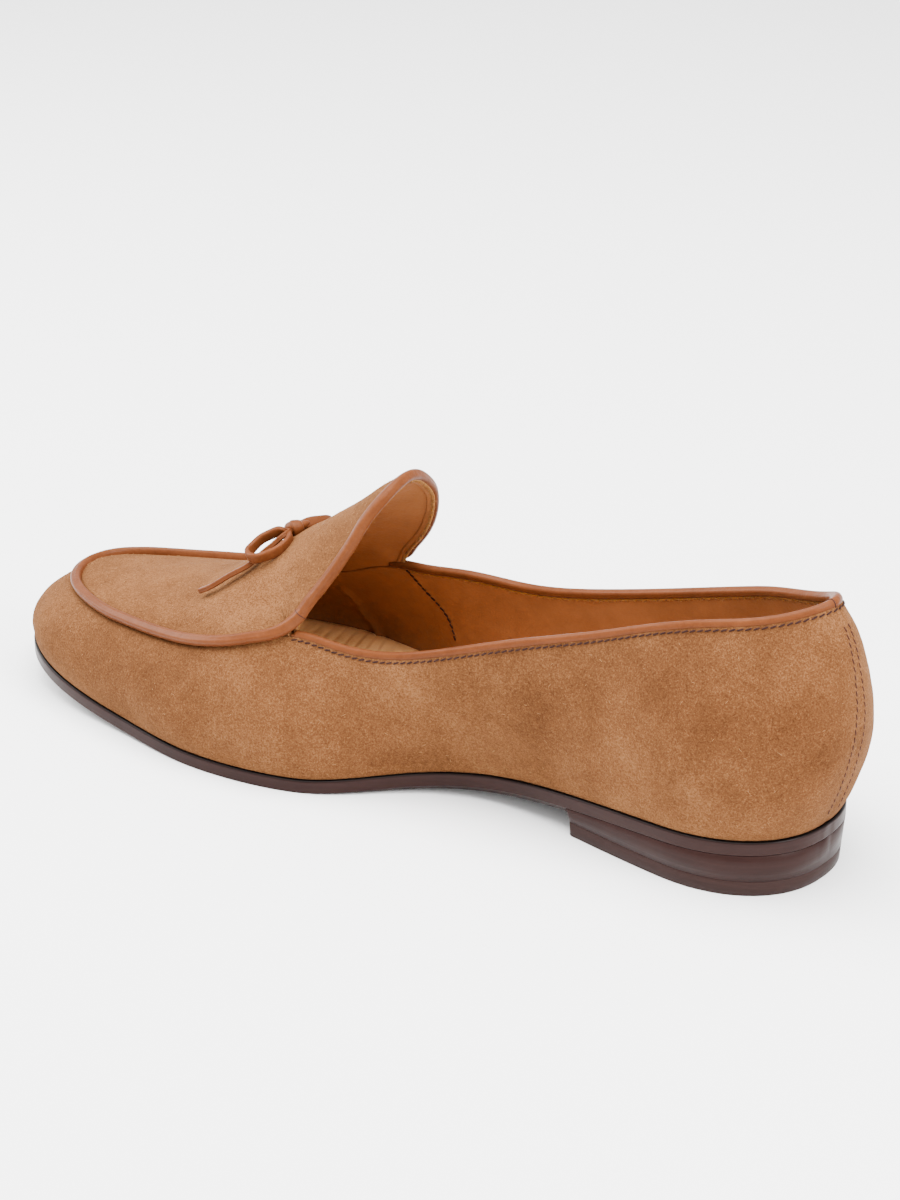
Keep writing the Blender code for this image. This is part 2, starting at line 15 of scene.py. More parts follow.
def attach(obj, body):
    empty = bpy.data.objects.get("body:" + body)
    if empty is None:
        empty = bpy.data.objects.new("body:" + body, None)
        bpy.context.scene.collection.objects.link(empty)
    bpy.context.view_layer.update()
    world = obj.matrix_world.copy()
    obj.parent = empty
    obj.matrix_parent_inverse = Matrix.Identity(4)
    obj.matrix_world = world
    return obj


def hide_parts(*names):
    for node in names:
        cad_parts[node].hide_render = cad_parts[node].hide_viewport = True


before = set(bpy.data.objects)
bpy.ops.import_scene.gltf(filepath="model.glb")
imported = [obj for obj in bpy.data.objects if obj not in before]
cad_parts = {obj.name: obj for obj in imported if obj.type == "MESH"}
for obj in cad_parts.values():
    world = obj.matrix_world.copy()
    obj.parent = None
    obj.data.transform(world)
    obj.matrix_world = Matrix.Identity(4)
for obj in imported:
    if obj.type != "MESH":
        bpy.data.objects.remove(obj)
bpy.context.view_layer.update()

# The camera, where the photograph was taken: behind the heel, on the inner side and a little above.
# Its long lens is aimed at the middle of the shoe, and then turned to set the shoe in the picture.
PHOTO_WIDE, PHOTO_TALL = 900, 1200
VIEW_TURN, VIEW_RISE = math.radians(32.5), math.radians(26.1)
VIEW_DISTANCE = 0.900
VIEW_TARGET = np.array([0.115, 0.0, 0.035])
FOCAL_PIXELS = 2805.6
TARGET_PIXEL = (405.5, 651.2)
SENSOR = 36.0


def set_up(thing, place, right, up, ahead):
    """Puts a camera or light at a place, looking ahead with the given right and up."""
    turned = np.eye(4)
    turned[:3] = np.stack([right, up, -ahead, place], axis=1)
    thing.matrix_world = Matrix(turned.tolist())


def placed(name, data):
    """A mesh, camera or light as an object in the scene."""
    thing = bpy.data.objects.new(name, data)
    bpy.context.scene.collection.objects.link(thing)
    return thing


def photo_camera():
    """A camera that puts the target at its pixel, by a turn about the vertical and then a tilt."""
    back = np.array([-math.sin(VIEW_TURN), math.cos(VIEW_TURN), 0]) * math.cos(VIEW_RISE)
    back[2] = math.sin(VIEW_RISE)
    yaw = math.atan((TARGET_PIXEL[0] - PHOTO_WIDE / 2) / FOCAL_PIXELS)
    tilt = math.atan((TARGET_PIXEL[1] - PHOTO_TALL / 2) / FOCAL_PIXELS)
    ahead = np.array(Matrix.Rotation(yaw, 3, "Z")) @ -back
    right = np.cross(ahead, (0, 0, 1))
    right /= np.linalg.norm(right)
    ahead = ahead * math.cos(tilt) + np.cross(right, ahead) * math.sin(tilt)
    up = np.cross(right, ahead)
    data = bpy.data.cameras.new("photo_view")
    data.sensor_fit = "AUTO"
    data.sensor_width = SENSOR
    data.lens = FOCAL_PIXELS / PHOTO_TALL * SENSOR
    data.clip_start = 0.01
    camera = placed("photo_view", data)
    set_up(camera, VIEW_TARGET + back * VIEW_DISTANCE, right, up, ahead)
    bpy.context.scene.camera = camera


photo_camera()


# The outsole: one thin leather sole cut to the last, flat under the ball and lifted at the toe. Its
# edge is trimmed square, inked dark brown and burnished, and it swells a little below the waist.
SOLE_LENGTH = 0.295
HEEL_CENTRE = 0.035
HEEL_LENGTH = 0.075
SOLE_THICKNESS = 0.0045
GAP = 0.0003
HEEL_SHARE = 0.20
TOE_SHARE = 0.25
MIDDLE_SHARE = 1 - HEEL_SHARE - TOE_SHARE
BREAST_RAMP = 0.0040
BEVEL_MOST = 0.0100
SLOPE_STEP = 0.0001
SOLE_STATIONS = 420
INNER, OUTER = 1.0, -1.0


def chart(names, *rows):
    """A short table as arrays under their column names. The first column is the one it is read by."""
    return dict(zip(names.split(), np.array(rows, float).T))


SOLE = chart(
    "along centre inner outer",
    (0.000, 0.0058, 0.0310, 0.0310),
    (0.035, 0.0000, 0.0323, 0.0323),
    (0.075, -0.0066, 0.0305, 0.0315),
    (0.108, -0.0105, 0.0300, 0.0285),
    (0.138, -0.0105, 0.0385, 0.0315),
    (0.165, -0.0075, 0.0500, 0.0400),
    (0.190, -0.0040, 0.0525, 0.0480),
    (0.212, -0.0025, 0.0500, 0.0500),
    (0.238, -0.0015, 0.0435, 0.0460),
    (0.265, -0.0005, 0.0395, 0.0405),
    (0.295, 0.0000, 0.0385, 0.0385),
)
SOLE_ENDS = dict(back=0.0, heel=0.039, toe=0.238, front=SOLE_LENGTH, heel_power=2.3, toe_power=2.4)
SOLE_SIDE = chart(
    "along height bevel belly",
    (0.000, 0.0190, 0.0006, 0.0008),
    (0.035, 0.0176, 0.0008, 0.0014),
    (0.075, 0.0140, 0.0010, 0.0020),
    (0.100, 0.0108, 0.0014, 0.0026),
    (0.130, 0.0077, 0.0012, 0.0018),
    (0.155, 0.0055, 0.0006, 0.0006),
    (0.172, 0.0045, 0.0000, 0.0000),
    (0.210, 0.0045, 0.0000, 0.0000),
    (0.235, 0.0057, 0.0000, 0.0000),
    (0.265, 0.0098, 0.0000, 0.0000),
    (0.295, 0.0163, 0.0000, 0.0000),
)
# The trimmed edge, from the upper face down: how far in it lies, and how far down
SOLE_TRIM = chart(
    "inset drop",
    (0.0060, 0.00000),
    (0.0009, 0.00000),
    (0.0004, 0.00010),
    (0.0001, 0.00035),
    (0.0000, 0.00080),
    (0.0000, 0.00200),
    (0.0000, 0.00330),
    (0.0000, 0.00385),
    (0.0000, 0.00425),
    (0.0001, 0.00440),
    (0.0004, 0.00450),
)
# The swelling under the waist, in rings: shares of the bevel's reach and of the belly's depth
SOLE_UNDER = ((1.0, 0.75), (2.5, 0.90), (6.0, 1.0))
INK_DARK, INK_LIGHT, INK_RIM = (0.0120, 0.0042, 0.0034), (0.0220, 0.0088, 0.0072), (0.0018, 0.0010, 0.0010)


def unit(vectors):
    """The vectors at length 1."""
    return vectors / np.maximum(np.linalg.norm(vectors, axis=-1), 1e-12)[..., None]


def bell(away, width):
    """1 in the middle and falling off beside it: e to the minus square of away over width."""
    return np.exp(-((away / width) ** 2))


def smooth(rows, column, places):
    """The natural cubic curve through one column of a chart, read at the given places."""
    keys, values = next(iter(rows.values())), rows[column]
    step, count = np.diff(keys), len(keys)
    bend = np.eye(count)
    turn = np.zeros(count)
    for i in range(1, count - 1):
        bend[i, i - 1 : i + 2] = step[i - 1], 2 * (step[i - 1] + step[i]), step[i]
        turn[i] = 6 * ((values[i + 1] - values[i]) / step[i] - (values[i] - values[i - 1]) / step[i - 1])
    second = np.linalg.solve(bend, turn)
    places = np.clip(np.asarray(places, float), keys[0], keys[-1])
    i = np.clip(np.searchsorted(keys, places) - 1, 0, count - 2)
    left, right, width = keys[i + 1] - places, places - keys[i], step[i]
    curve = (second[i] * left**3 + second[i + 1] * right**3) / (6 * width)
    curve += (values[i] / width - second[i] * width / 6) * left
    return curve + (values[i + 1] / width - second[i + 1] * width / 6) * right


def travel(share, ends):
    """Place along the shoe at a share of its length: even steps of angle round the heel and the toe."""
    heel = ends["back"] + (ends["heel"] - ends["back"]) * (1 - np.cos(math.pi / 2 * share / HEEL_SHARE))
    middle = (share - HEEL_SHARE) / MIDDLE_SHARE
    middle = ends["heel"] + (ends["toe"] - ends["heel"]) * middle
    toe = np.sin(math.pi / 2 * np.clip((share - 1 + TOE_SHARE) / TOE_SHARE, 0, 1))
    toe = ends["toe"] + (ends["front"] - ends["toe"]) * toe
    return np.where(share < HEEL_SHARE, heel, np.where(share > 1 - TOE_SHARE, toe, middle))


def fullness(along, ends):
    """1 along the sides, and the quarter of a superellipse down to 0 at the back and at the tip."""
    back = np.clip((ends["heel"] - along) / (ends["heel"] - ends["back"]), 0, 1)
    front = np.clip((along - ends["toe"]) / (ends["front"] - ends["toe"]), 0, 1)
    back = (1 - back ** ends["heel_power"]) ** (1 / ends["heel_power"])
    return back * (1 - front ** ends["toe_power"]) ** (1 / ends["toe_power"])


def edge(rows, ends, along, side, inset=0.0):
    """Points of an outline on one side, in plan, square to its centre line at the places along."""
    ahead, behind = (smooth(rows, "centre", along + step) for step in (SLOPE_STEP, -SLOPE_STEP))
    slope = (ahead - behind) / (2 * SLOPE_STEP)
    square = np.stack([-slope, np.ones_like(slope)], -1) / np.sqrt(1 + slope**2)[:, None]
    half = (smooth(rows, "inner" if side == INNER else "outer", along) - inset) * fullness(along, ends)
    return np.stack([along - HEEL_CENTRE, smooth(rows, "centre", along)], -1) + side * half[:, None] * square


def side_of(rows, ends, share, side, inset=0.0):
    """One side of an outline drawn in by an inset: its points in plan, and the place along of each."""
    ends = dict(ends, back=ends["back"] + inset, front=ends["front"] - inset)
    along = travel(share, ends)
    return edge(rows, ends, along, side, inset), along


def sole_height(along):
    """Height of the outsole's upper face, level across the shoe, with a flat spot under the ball."""
    return np.maximum(smooth(SOLE_SIDE, "height", along), SOLE_THICKNESS)


def waist(column, along):
    """A column of the waist's chart, which starts at the heel's breast and ends before the ball."""
    begun = np.clip((along - HEEL_LENGTH) / BREAST_RAMP, 0, 1)
    return np.maximum(smooth(SOLE_SIDE, column, along), 0) * begun


def sole_ring(share, inset=0.0, drop=0.0):
    """A closed ring round the sole, heel to toe on the inner side and back on the outer side."""
    sides = []
    for side in (INNER, OUTER):
        plan, along = side_of(SOLE, SOLE_ENDS, share, side, inset)
        sides.append(np.column_stack([plan, sole_height(along) - drop]))
    return np.concatenate([sides[0], sides[1][-2:0:-1]])


def ring_faces(rows, count):
    """Quads between closed rings of equal count that are stored one after another."""
    i, j = np.meshgrid(np.arange(rows - 1), np.arange(count), indexing="ij")
    k = (j + 1) % count
    row, following = i * count, (i + 1) * count
    return np.stack([row + j, row + k, following + k, following + j], -1).reshape(-1, 4)


def lid_faces(start, count):
    """A lid on a ring, in strips between the points that face each other across the shoe."""
    turn = (count + 1) // 2
    i = np.arange(1, turn - 1)
    strips = start + np.stack([i, i + 1, count - i - 1, count - i], -1)
    ends = [[start, start + 1, start + count - 1]]
    if count % 2 == 0:
        ends.append([start + turn - 1, start + turn, start + turn + 1])
    return strips.tolist() + ends


def block_faces(rows, count):
    """Faces of rings stored one after another, with a lid on the first and on the last."""
    return ring_faces(rows, count).tolist() + lid_faces(0, count) + lid_faces((rows - 1) * count, count)


def piece(name, points, faces, finish, slot, replaces=(), sharp=180, **marks):
    """One piece of the shoe: a mesh with merged doubles and outward faces, and its finish.

    Marks are numbers for each point, kept as attributes that its finish can read.
    """
    mesh = bpy.data.meshes.new(name)
    mesh.from_pydata(points.reshape(-1, 3).tolist(), [], faces if isinstance(faces, list) else faces.tolist())
    for mark, values in marks.items():
        layer = mesh.attributes.new(mark, "FLOAT", "POINT")
        layer.data.foreach_set("value", np.asarray(values, np.float32).ravel())
    shape = bmesh.new()
    shape.from_mesh(mesh)
    bmesh.ops.remove_doubles(shape, verts=shape.verts, dist=1e-6)
    bmesh.ops.recalc_face_normals(shape, faces=shape.faces)
    shape.to_mesh(mesh)
    shape.free()
    mesh.materials.append(finish)
    mesh.shade_smooth()
    if sharp < 180:
        mesh.set_sharp_from_angle(angle=math.radians(sharp))
    thing = placed(name, mesh)
    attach(thing, "root")
    if replaces:
        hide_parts(*replaces)
    return thing


class Finish:
    """A Principled material with its steady numbers set on the shader, and small nodes joined to it."""

    def __init__(self, name, sockets):
        self.material = bpy.data.materials.new(name)
        self.material.use_nodes = True
        self.tree = self.material.node_tree
        self.shader = self.tree.nodes["Principled BSDF"]
        for socket, value in sockets.items():
            self.shader.inputs[socket].default_value = value

    def node(self, kind, **inputs):
        """A node of a kind. A leading underscore sets a property, i0 the first input, and so on."""
        made = self.tree.nodes.new(kind)
        for key, value in inputs.items():
            if key.startswith("_"):
                setattr(made, key[1:], value)
        for key, value in inputs.items():
            if key.startswith("_"):
                continue
            socket = made.inputs[int(key[1:]) if key[1:].isdigit() else key]
            if isinstance(value, bpy.types.NodeSocket):
                self.tree.links.new(value, socket)
            else:
                socket.default_value = value
        return made

    def place(self, stretch=(1, 1, 1)):
        """The point on the piece, in metres, stretched along the axes."""
        where = self.node("ShaderNodeTexCoord").outputs["Object"]
        return self.node("ShaderNodeMapping", Vector=where, Scale=stretch).outputs[0]

    def noise(self, size, detail=2.0, rough=0.5, stretch=(1, 1, 1)):
        """Noise from 0 to 1 whose blotches are about the given size in metres."""
        made = self.node("ShaderNodeTexNoise", Vector=self.place(stretch), Scale=1 / size, Detail=detail)
        made.inputs["Roughness"].default_value = rough
        return made.outputs["Fac"]

    def mark(self, name):
        """A number kept on the mesh's points."""
        return self.node("ShaderNodeAttribute", _attribute_name=name).outputs["Fac"]

    def math(self, operation, a, b=0.0, c=0.0):
        """One sum on numbers or sockets."""
        return self.node("ShaderNodeMath", _operation=operation, i0=a, i1=b, i2=c).outputs[0]

    def blend(self, parts, middle=0.5):
        """Noises added round a middle value. Each part is a socket and how far it swings."""
        total = middle
        for socket, swing in parts:
            total = self.math("MULTIPLY_ADD", self.math("SUBTRACT", socket, 0.5), swing, total)
        return total

    def ramp(self, factor, *stops):
        """A colour read from stops of place and colour."""
        made = self.node("ShaderNodeValToRGB", Fac=factor)
        band = made.color_ramp
        while len(band.elements) < len(stops):
            band.elements.new(0.5)
        for element, (place, colour) in zip(band.elements, stops):
            element.position = place
            element.color = (*colour, 1.0)
        return made.outputs["Color"]

    def mix(self, factor, first, second, kind="MIX"):
        """One colour over another."""
        made = self.node("ShaderNodeMix", _data_type="RGBA", _blend_type=kind)
        for socket, value in zip((made.inputs[0], made.inputs[6], made.inputs[7]), (factor, first, second)):
            if isinstance(value, bpy.types.NodeSocket):
                self.tree.links.new(value, socket)
            elif isinstance(value, tuple):
                socket.default_value = (*value, 1.0)
            else:
                socket.default_value = value
        return made.outputs[2]

    def colour(self, socket):
        """Joins a colour to the shader."""
        self.tree.links.new(socket, self.shader.inputs["Base Color"])

    def roughness(self, socket):
        """Joins a roughness to the shader."""
        self.tree.links.new(socket, self.shader.inputs["Roughness"])

    def relief(self, *layers):
        """Bumps laid one on another. Each layer is a height socket and its depth in metres."""
        normal = None
        for height, depth in layers:
            bump = self.node("ShaderNodeBump", Height=height, Strength=1.0, Distance=depth)
            if normal:
                self.tree.links.new(normal, bump.inputs["Normal"])
            normal = bump.outputs["Normal"]
        self.tree.links.new(normal, self.shader.inputs["Normal"])


def inked_edge():
    """Dark brown polished edge ink, thin and black along the upper rim, with fine trimming lines."""
    ink = Finish("inked_edge", {"Specular IOR Level": 0.08, "Coat Weight": 0.02, "Coat Roughness": 0.25})
    trimming = ink.noise(0.0009, 3.0, 0.6, (0.03, 0.03, 1.0))
    cloud = ink.noise(0.012, 2.0)
    wear = ink.blend([(trimming, 0.5), (cloud, 0.5)])
    brown = ink.ramp(wear, (0.2, INK_DARK), (0.8, INK_LIGHT))
    rim = ink.math("SMOOTH_MIN", ink.mark("rim"), 1.0, 0.1)
    ink.colour(ink.mix(rim, brown, INK_RIM))
    ink.roughness(ink.math("MULTIPLY_ADD", wear, 0.2, 0.26))
    ink.relief((trimming, 0.00006), (cloud, 0.0002))
    return ink.material


INKED_EDGE = inked_edge()


def outsole():
    """Rings round the sole: the trimmed edge from its chart, then the swelling under the waist."""
    share = np.linspace(0, 1, SOLE_STATIONS)
    rings = [sole_ring(share, inset, drop) for inset, drop in zip(SOLE_TRIM["inset"], SOLE_TRIM["drop"])]
    side = rings[-1]
    along = side[:, 0] + HEEL_CENTRE
    inward = np.column_stack([side[:, 0], smooth(SOLE, "centre", along)]) - side[:, :2]
    bevel, belly = waist("bevel", along), waist("belly", along)
    for reach, depth in SOLE_UNDER:
        ring = side.copy()
        ring[:, :2] += unit(inward) * np.minimum(bevel * reach, BEVEL_MOST)[:, None]
        ring[:, 2] -= belly * depth
        rings.append(ring)
    rings = np.stack(rings)
    rows, count = rings.shape[:2]
    rim = np.zeros((rows, count))
    rim[:3] = 1.0
    rim[3] = 0.5
    piece("sole", rings, block_faces(rows, count), INKED_EDGE, "sole_leather", ["outsole"], rim=rim)


outsole()


# The heel: stacked leather lifts under the sole's back, cut as one D with a straight breast, inked
# like the sole's edge, and a duller rubber top lift that it stands on.
LIFT_THICKNESS = 0.0050
HEEL_TAPER = 0.0010
BREAST_RAKE = 0.0012
HEEL_ROUND_STEPS = 90
HEEL_STRAIGHT_STEPS = 40
BREAST_CORNER = 0.0016
ARRIS = 0.00010
LIFT_SHARE = 0.7
RUBBER_DARK, RUBBER_LIGHT = (0.0170, 0.0076, 0.0064), (0.0240, 0.0115, 0.0098)


def heel_ring(inset, breast):
    """A closed D round the heel in plan. Its breast is straight, with small rounded corners."""
    ends = dict(SOLE_ENDS, back=SOLE_ENDS["back"] + inset)
    turn = np.linspace(0, math.pi / 2, HEEL_ROUND_STEPS)
    along = ends["back"] + (ends["heel"] - ends["back"]) * (1 - np.cos(turn))
    straight = np.linspace(ends["heel"], breast - BREAST_CORNER, HEEL_STRAIGHT_STEPS)[1:]
    corner = np.linspace(0, math.pi / 2, 7)[1:]
    along = np.concatenate([along, straight, breast - BREAST_CORNER * (1 - np.sin(corner))])
    drawn = np.concatenate([np.zeros(len(along) - len(corner)), BREAST_CORNER * (1 - np.cos(corner))])
    sides = []
    for side in (INNER, OUTER):
        plan = edge(SOLE, ends, along, side, inset)
        plan[:, 1] -= side * drawn
        sides.append(plan)
    return np.concatenate([sides[0], sides[1][:0:-1]]), np.concatenate([along, along[:0:-1]])


def heel_block(name, finish, slot, node, levels):
    """A slab of the heel through rings at rising levels: each has an inset, a breast and a height."""
    rings = []
    for inset, breast, height in levels:
        plan, along = heel_ring(inset, breast)
        rings.append(np.column_stack([plan, height(along)]))
    rings = np.stack(rings)
    rows, count = rings.shape[:2]
    piece(name, rings, block_faces(rows, count), finish, slot, [node], rim=np.zeros((rows, count)))


def level(height):
    """A height that is the same all along."""
    return lambda along: np.full_like(along, height)


def below_sole(drop):
    """The height of the outsole's underside, less a drop."""
    return lambda along: sole_height(along) - SOLE_THICKNESS - drop


def dull_rubber():
    """Dark brown rubber, greyer and duller than the ink above it, with fine sanding lines."""
    rubber = Finish("dull_rubber", {"Roughness": 0.5, "Specular IOR Level": 0.09})
    lines = rubber.noise(0.0006, 3.0, 0.6, (0.05, 0.05, 1.0))
    rubber.colour(rubber.ramp(lines, (0.25, RUBBER_DARK), (0.75, RUBBER_LIGHT)))
    rubber.relief((lines, 0.00005))
    return rubber.material


low, high = HEEL_LENGTH - BREAST_RAKE, HEEL_LENGTH
taper = HEEL_TAPER * LIFT_SHARE
heel_block(
    "stacked_heel",
    INKED_EDGE,
    "sole_leather",
    "heel_stack",
    [
        (taper + ARRIS, low - ARRIS, level(LIFT_THICKNESS + ARRIS / 2)),
        (taper, low, level(LIFT_THICKNESS + ARRIS)),
        (0.0, high, below_sole(ARRIS)),
        (ARRIS, high - ARRIS, below_sole(ARRIS / 2)),
    ],
)
heel_block(
    "top_lift_rubber",
    dull_rubber(),
    "lift_rubber",
    "top_lift",
    [
        (HEEL_TAPER + 2 * ARRIS, low - 2 * ARRIS, level(0.0)),
        (HEEL_TAPER, low, level(2 * ARRIS)),
        (taper, low, level(LIFT_THICKNESS - ARRIS)),
        (taper + ARRIS, low - ARRIS, level(LIFT_THICKNESS)),
    ],
)


# The sock: a full-length strip of smooth tan lining leather glued on the sole inside the shoe. It has
# puckered a little across the waist. Its colours are painted light: far paler than the lining's calf,
# to stand in for the light that falls in through the collar.
FEATHER_INSET = 0.0008
WALL = 0.0020
SOCK_THICKNESS = 0.001472
SOCK_COLUMNS = 41
SOCK_ARCH = 0.0030
SOCK_SNUG = 0.0009
SOCK_SPREAD = 0.0010
SOCK_ARCH_AT, SOCK_ARCH_REACH = 0.175, 0.060
PUCKER_AT, PUCKER_REACH = 0.190, 0.040
PUCKER_RISE = 0.00040
SOCK_DISH = 0.0003
# Painted light: the sock's calf is coloured much paler than the lining's, so that it looks lit through the
# opening.
SOCK_PAINTED_LIT_DARK, SOCK_PAINTED_LIT_LIGHT = (0.52, 0.235, 0.078), (0.82, 0.44, 0.18)


def lining_leather(name, dark, light):
    """Smooth undyed calf: orange brown, darker in clouds, with faint pores and handling creases."""
    calf = Finish(name, {"Specular IOR Level": 0.15, "Coat Weight": 0.02, "Coat Roughness": 0.45})
    cloud = calf.noise(0.030, 3.0)
    blotch = calf.noise(0.006, 3.0)
    pores = calf.noise(0.0007, 2.0)
    tone = calf.blend([(cloud, 0.9), (blotch, 0.45), (pores, 0.25)])
    calf.colour(calf.ramp(tone, (0.15, dark), (0.85, light)))
    calf.roughness(calf.math("MULTIPLY_ADD", blotch, 0.2, 0.42))
    calf.relief((pores, 0.00008), (blotch, 0.0004))
    return calf.material


def sock():
    """A shallow dish between the two edges of the sole, arched under the throat.

    Where it is puckered, its top rises and falls as two sines that cross.
    """
    share = np.linspace(0, 1, SOLE_STATIONS)
    inset = FEATHER_INSET + WALL - SOCK_SNUG
    sides = [side_of(SOLE, SOLE_ENDS, share, side, inset) for side in (INNER, OUTER)]
    across = np.linspace(0, 1, SOCK_COLUMNS)[:, None, None]
    plan = sides[0][0] * (1 - across) + sides[1][0] * across
    along = np.broadcast_to(sides[0][1], plan.shape[:2])
    crown = 4 * across[..., 0] * (1 - across[..., 0])
    pucker = np.sin(along * 1900 + 2.3 * np.sin(plan[..., 1] * 160)) * np.sin(along * 610 + plan[..., 1] * 90)
    waisted = bell(along - PUCKER_AT, PUCKER_REACH) * np.clip(4 * crown, 0, 1)
    height = sole_height(along.ravel()).reshape(along.shape) + GAP
    arched = bell(along - SOCK_ARCH_AT, SOCK_ARCH_REACH)
    over = plan.copy()
    over[..., 1] += (1 - 2 * across[..., 0]) * SOCK_SPREAD * arched
    top = height + SOCK_ARCH * arched + SOCK_THICKNESS + PUCKER_RISE * pucker * waisted - SOCK_DISH * crown**2
    grids = np.stack([np.dstack([over, top]), np.dstack([plan, height])])
    # The sock's paler colours are painted light, in place of the light that reaches it inside the shoe.
    calf = lining_leather("sock_calf_painted_lit", SOCK_PAINTED_LIT_DARK, SOCK_PAINTED_LIT_LIGHT)
    piece("sock_lining", grids, shell_faces(SOCK_COLUMNS, len(share)), calf, "sock_leather", ["insole"])


def shell_faces(rows, columns, ring=False):
    """Faces of a closed shell made of two equal grids, outer and inner, joined all round their borders.

    With ring, the columns close on themselves and only the first and last rows are borders.
    """
    outer = ring_faces(rows, columns)
    if not ring:
        outer = outer.reshape(rows - 1, columns, 4)[:, :-1].reshape(-1, 4)
    deep = rows * columns
    first = np.arange(columns)
    borders = [first, first[::-1] + (rows - 1) * columns]
    if not ring:
        lines = np.arange(rows) * columns
        borders += [lines[::-1], lines + columns - 1]
    joined = [outer, outer[:, ::-1] + deep]
    for line in borders:
        line = np.append(line, line[0]) if ring else line
        joined.append(np.stack([line[1:], line[:-1], line[:-1] + deep, line[1:] + deep], -1))
    return np.concatenate(joined)


sock()


# The vamp and quarters: suede on a leather lining, lasted over the sole and closed at the back seam.
# One surface runs round the foot. Its top edge is the collar, and the apron's seam in front of it.
GROOVE_DEPTH = 0.0016
GROOVE_HALF = 0.0030
GROOVE_SEAT = 0.0010
THROAT = 0.175
THROAT_RUN = 0.030
WALL_STATIONS = 430
WALL_ROWS = 57
SUEDE_THICKNESS = 0.0011
LINING_BACK = SUEDE_THICKNESS + 0.0002
TOE_BLEND = 0.1
LINING_STATIONS = 400
LINING_ROWS = 38

TOP = chart(
    "along centre inner outer inner_height outer_height",
    (0.0028, 0.0030, 0.0200, 0.0230, 0.0893, 0.0893),
    (0.0160, 0.0020, 0.0215, 0.0235, 0.0852, 0.0822),
    (0.0350, 0.0000, 0.0232, 0.0248, 0.0812, 0.0756),
    (0.0650, -0.0030, 0.0268, 0.0280, 0.0711, 0.0651),
    (0.1000, -0.0045, 0.0300, 0.0300, 0.0599, 0.0541),
    (0.1240, -0.0040, 0.0320, 0.0310, 0.0522, 0.0497),
    (0.1450, -0.0025, 0.0325, 0.0315, 0.0473, 0.0497),
    (0.1600, -0.0010, 0.0325, 0.0318, 0.0472, 0.0488),
    (0.1750, 0.0000, 0.0330, 0.0325, 0.0484, 0.0480),
    (0.1920, 0.0010, 0.0375, 0.0355, 0.0440, 0.0420),
    (0.2130, 0.0010, 0.0372, 0.0350, 0.0393, 0.0375),
    (0.2380, 0.0005, 0.0322, 0.0310, 0.0369, 0.0345),
    (0.2620, -0.0003, 0.0280, 0.0278, 0.0355, 0.0333),
    (0.2800, -0.0005, 0.0272, 0.0272, 0.0347, 0.0347),
)
TOP_ENDS = dict(back=0.0028, heel=0.045, toe=0.240, front=0.2800, heel_power=1.85, toe_power=2.0)
SWELL = chart(
    "along low_out low_up high_out high_down",
    (0.000, 0.0105, 0.0200, 0.0160, 0.0230),
    (0.035, 0.0075, 0.0180, 0.0100, 0.0210),
    (0.075, 0.0052, 0.0150, 0.0055, 0.0180),
    (0.110, 0.0045, 0.0130, 0.0050, 0.0150),
    (0.145, 0.0040, 0.0120, 0.0070, 0.0120),
    (0.175, 0.0050, 0.0120, 0.0095, 0.0110),
    (0.210, 0.0055, 0.0120, 0.0095, 0.0090),
    (0.245, 0.0050, 0.0100, 0.0090, 0.0065),
    (0.295, 0.0040, 0.0090, 0.0100, 0.0050),
)
THROAT_SHARE = HEEL_SHARE + (THROAT - TOP_ENDS["heel"]) * MIDDLE_SHARE / (TOP_ENDS["toe"] - TOP_ENDS["heel"])

# The lining's seam on the outer side, from the collar down, and its creases by line, width and height
SEAM_TOP = (0.1344, -0.0308, 0.0475), (0.1304, -0.0368, 0.0377)
LINING_SEAM = np.array([*SEAM_TOP, (0.1247, -0.0402, 0.0289), (0.1228, -0.0423, 0.0196)])
LINING_LAP = 0.00035
LAP_REACH = 0.010
LAP_EDGE = 0.0012
LINING_CREASES = (
    (((0.1691, -0.0436, 0.0264), (0.1663, -0.0497, 0.0162), (0.1597, -0.0496, 0.0091)), 0.0016, 0.0011),
    (((0.1746, -0.0430, 0.0244), (0.1728, -0.0493, 0.0142), (0.1685, -0.0499, 0.0081)), 0.0018, 0.0004),
)

# Soft troughs (depth below 0) and ridges of the worn wall. Each runs from one place to another,
# with its height given as a share of the wall's height
WALL_FOLDS = chart(
    "side along up to_along to_up width depth",
    (1, 0.120, 0.95, 0.128, 0.55, 0.0060, -0.0007),
    (1, 0.136, 0.98, 0.140, 0.70, 0.0045, 0.0004),
    (1, 0.150, 0.92, 0.160, 0.45, 0.0070, -0.0006),
    (1, 0.100, 0.80, 0.118, 0.15, 0.0090, -0.0006),
    (1, 0.172, 0.70, 0.182, 0.20, 0.0060, 0.0006),
    (1, 0.192, 0.60, 0.200, 0.12, 0.0070, -0.0007),
    (1, 0.212, 0.55, 0.222, 0.10, 0.0080, 0.0005),
    (1, 0.070, 0.55, 0.085, 0.12, 0.0080, -0.0007),
    (1, 0.045, 0.20, 0.062, 0.08, 0.0060, 0.0005),
    (1, 0.018, 0.30, 0.030, 0.10, 0.0060, -0.0005),
    (-1, 0.118, 0.90, 0.128, 0.40, 0.0070, -0.0007),
    (-1, 0.145, 0.95, 0.152, 0.55, 0.0060, -0.0006),
    (-1, 0.170, 0.70, 0.184, 0.15, 0.0070, 0.0006),
    (-1, 0.198, 0.55, 0.206, 0.12, 0.0070, -0.0006),
    (-1, 0.075, 0.55, 0.088, 0.15, 0.0090, -0.0007),
)
BACK_SEAM_HALF = 0.0008
BACK_SEAM_DEPTH = 0.00018
FOLD_SCALE = 0.05
SUEDE_DARK, SUEDE_LIGHT = (0.048, 0.0165, 0.0050), (0.188, 0.0820, 0.0320)
SUEDE_MIDDLE = (0.101, 0.0390, 0.0134)
SUEDE_SHEEN = (1.0, 0.56, 0.26, 1.0)
LINING_DARK, LINING_LIGHT = (0.150, 0.054, 0.0165), (0.258, 0.104, 0.037)


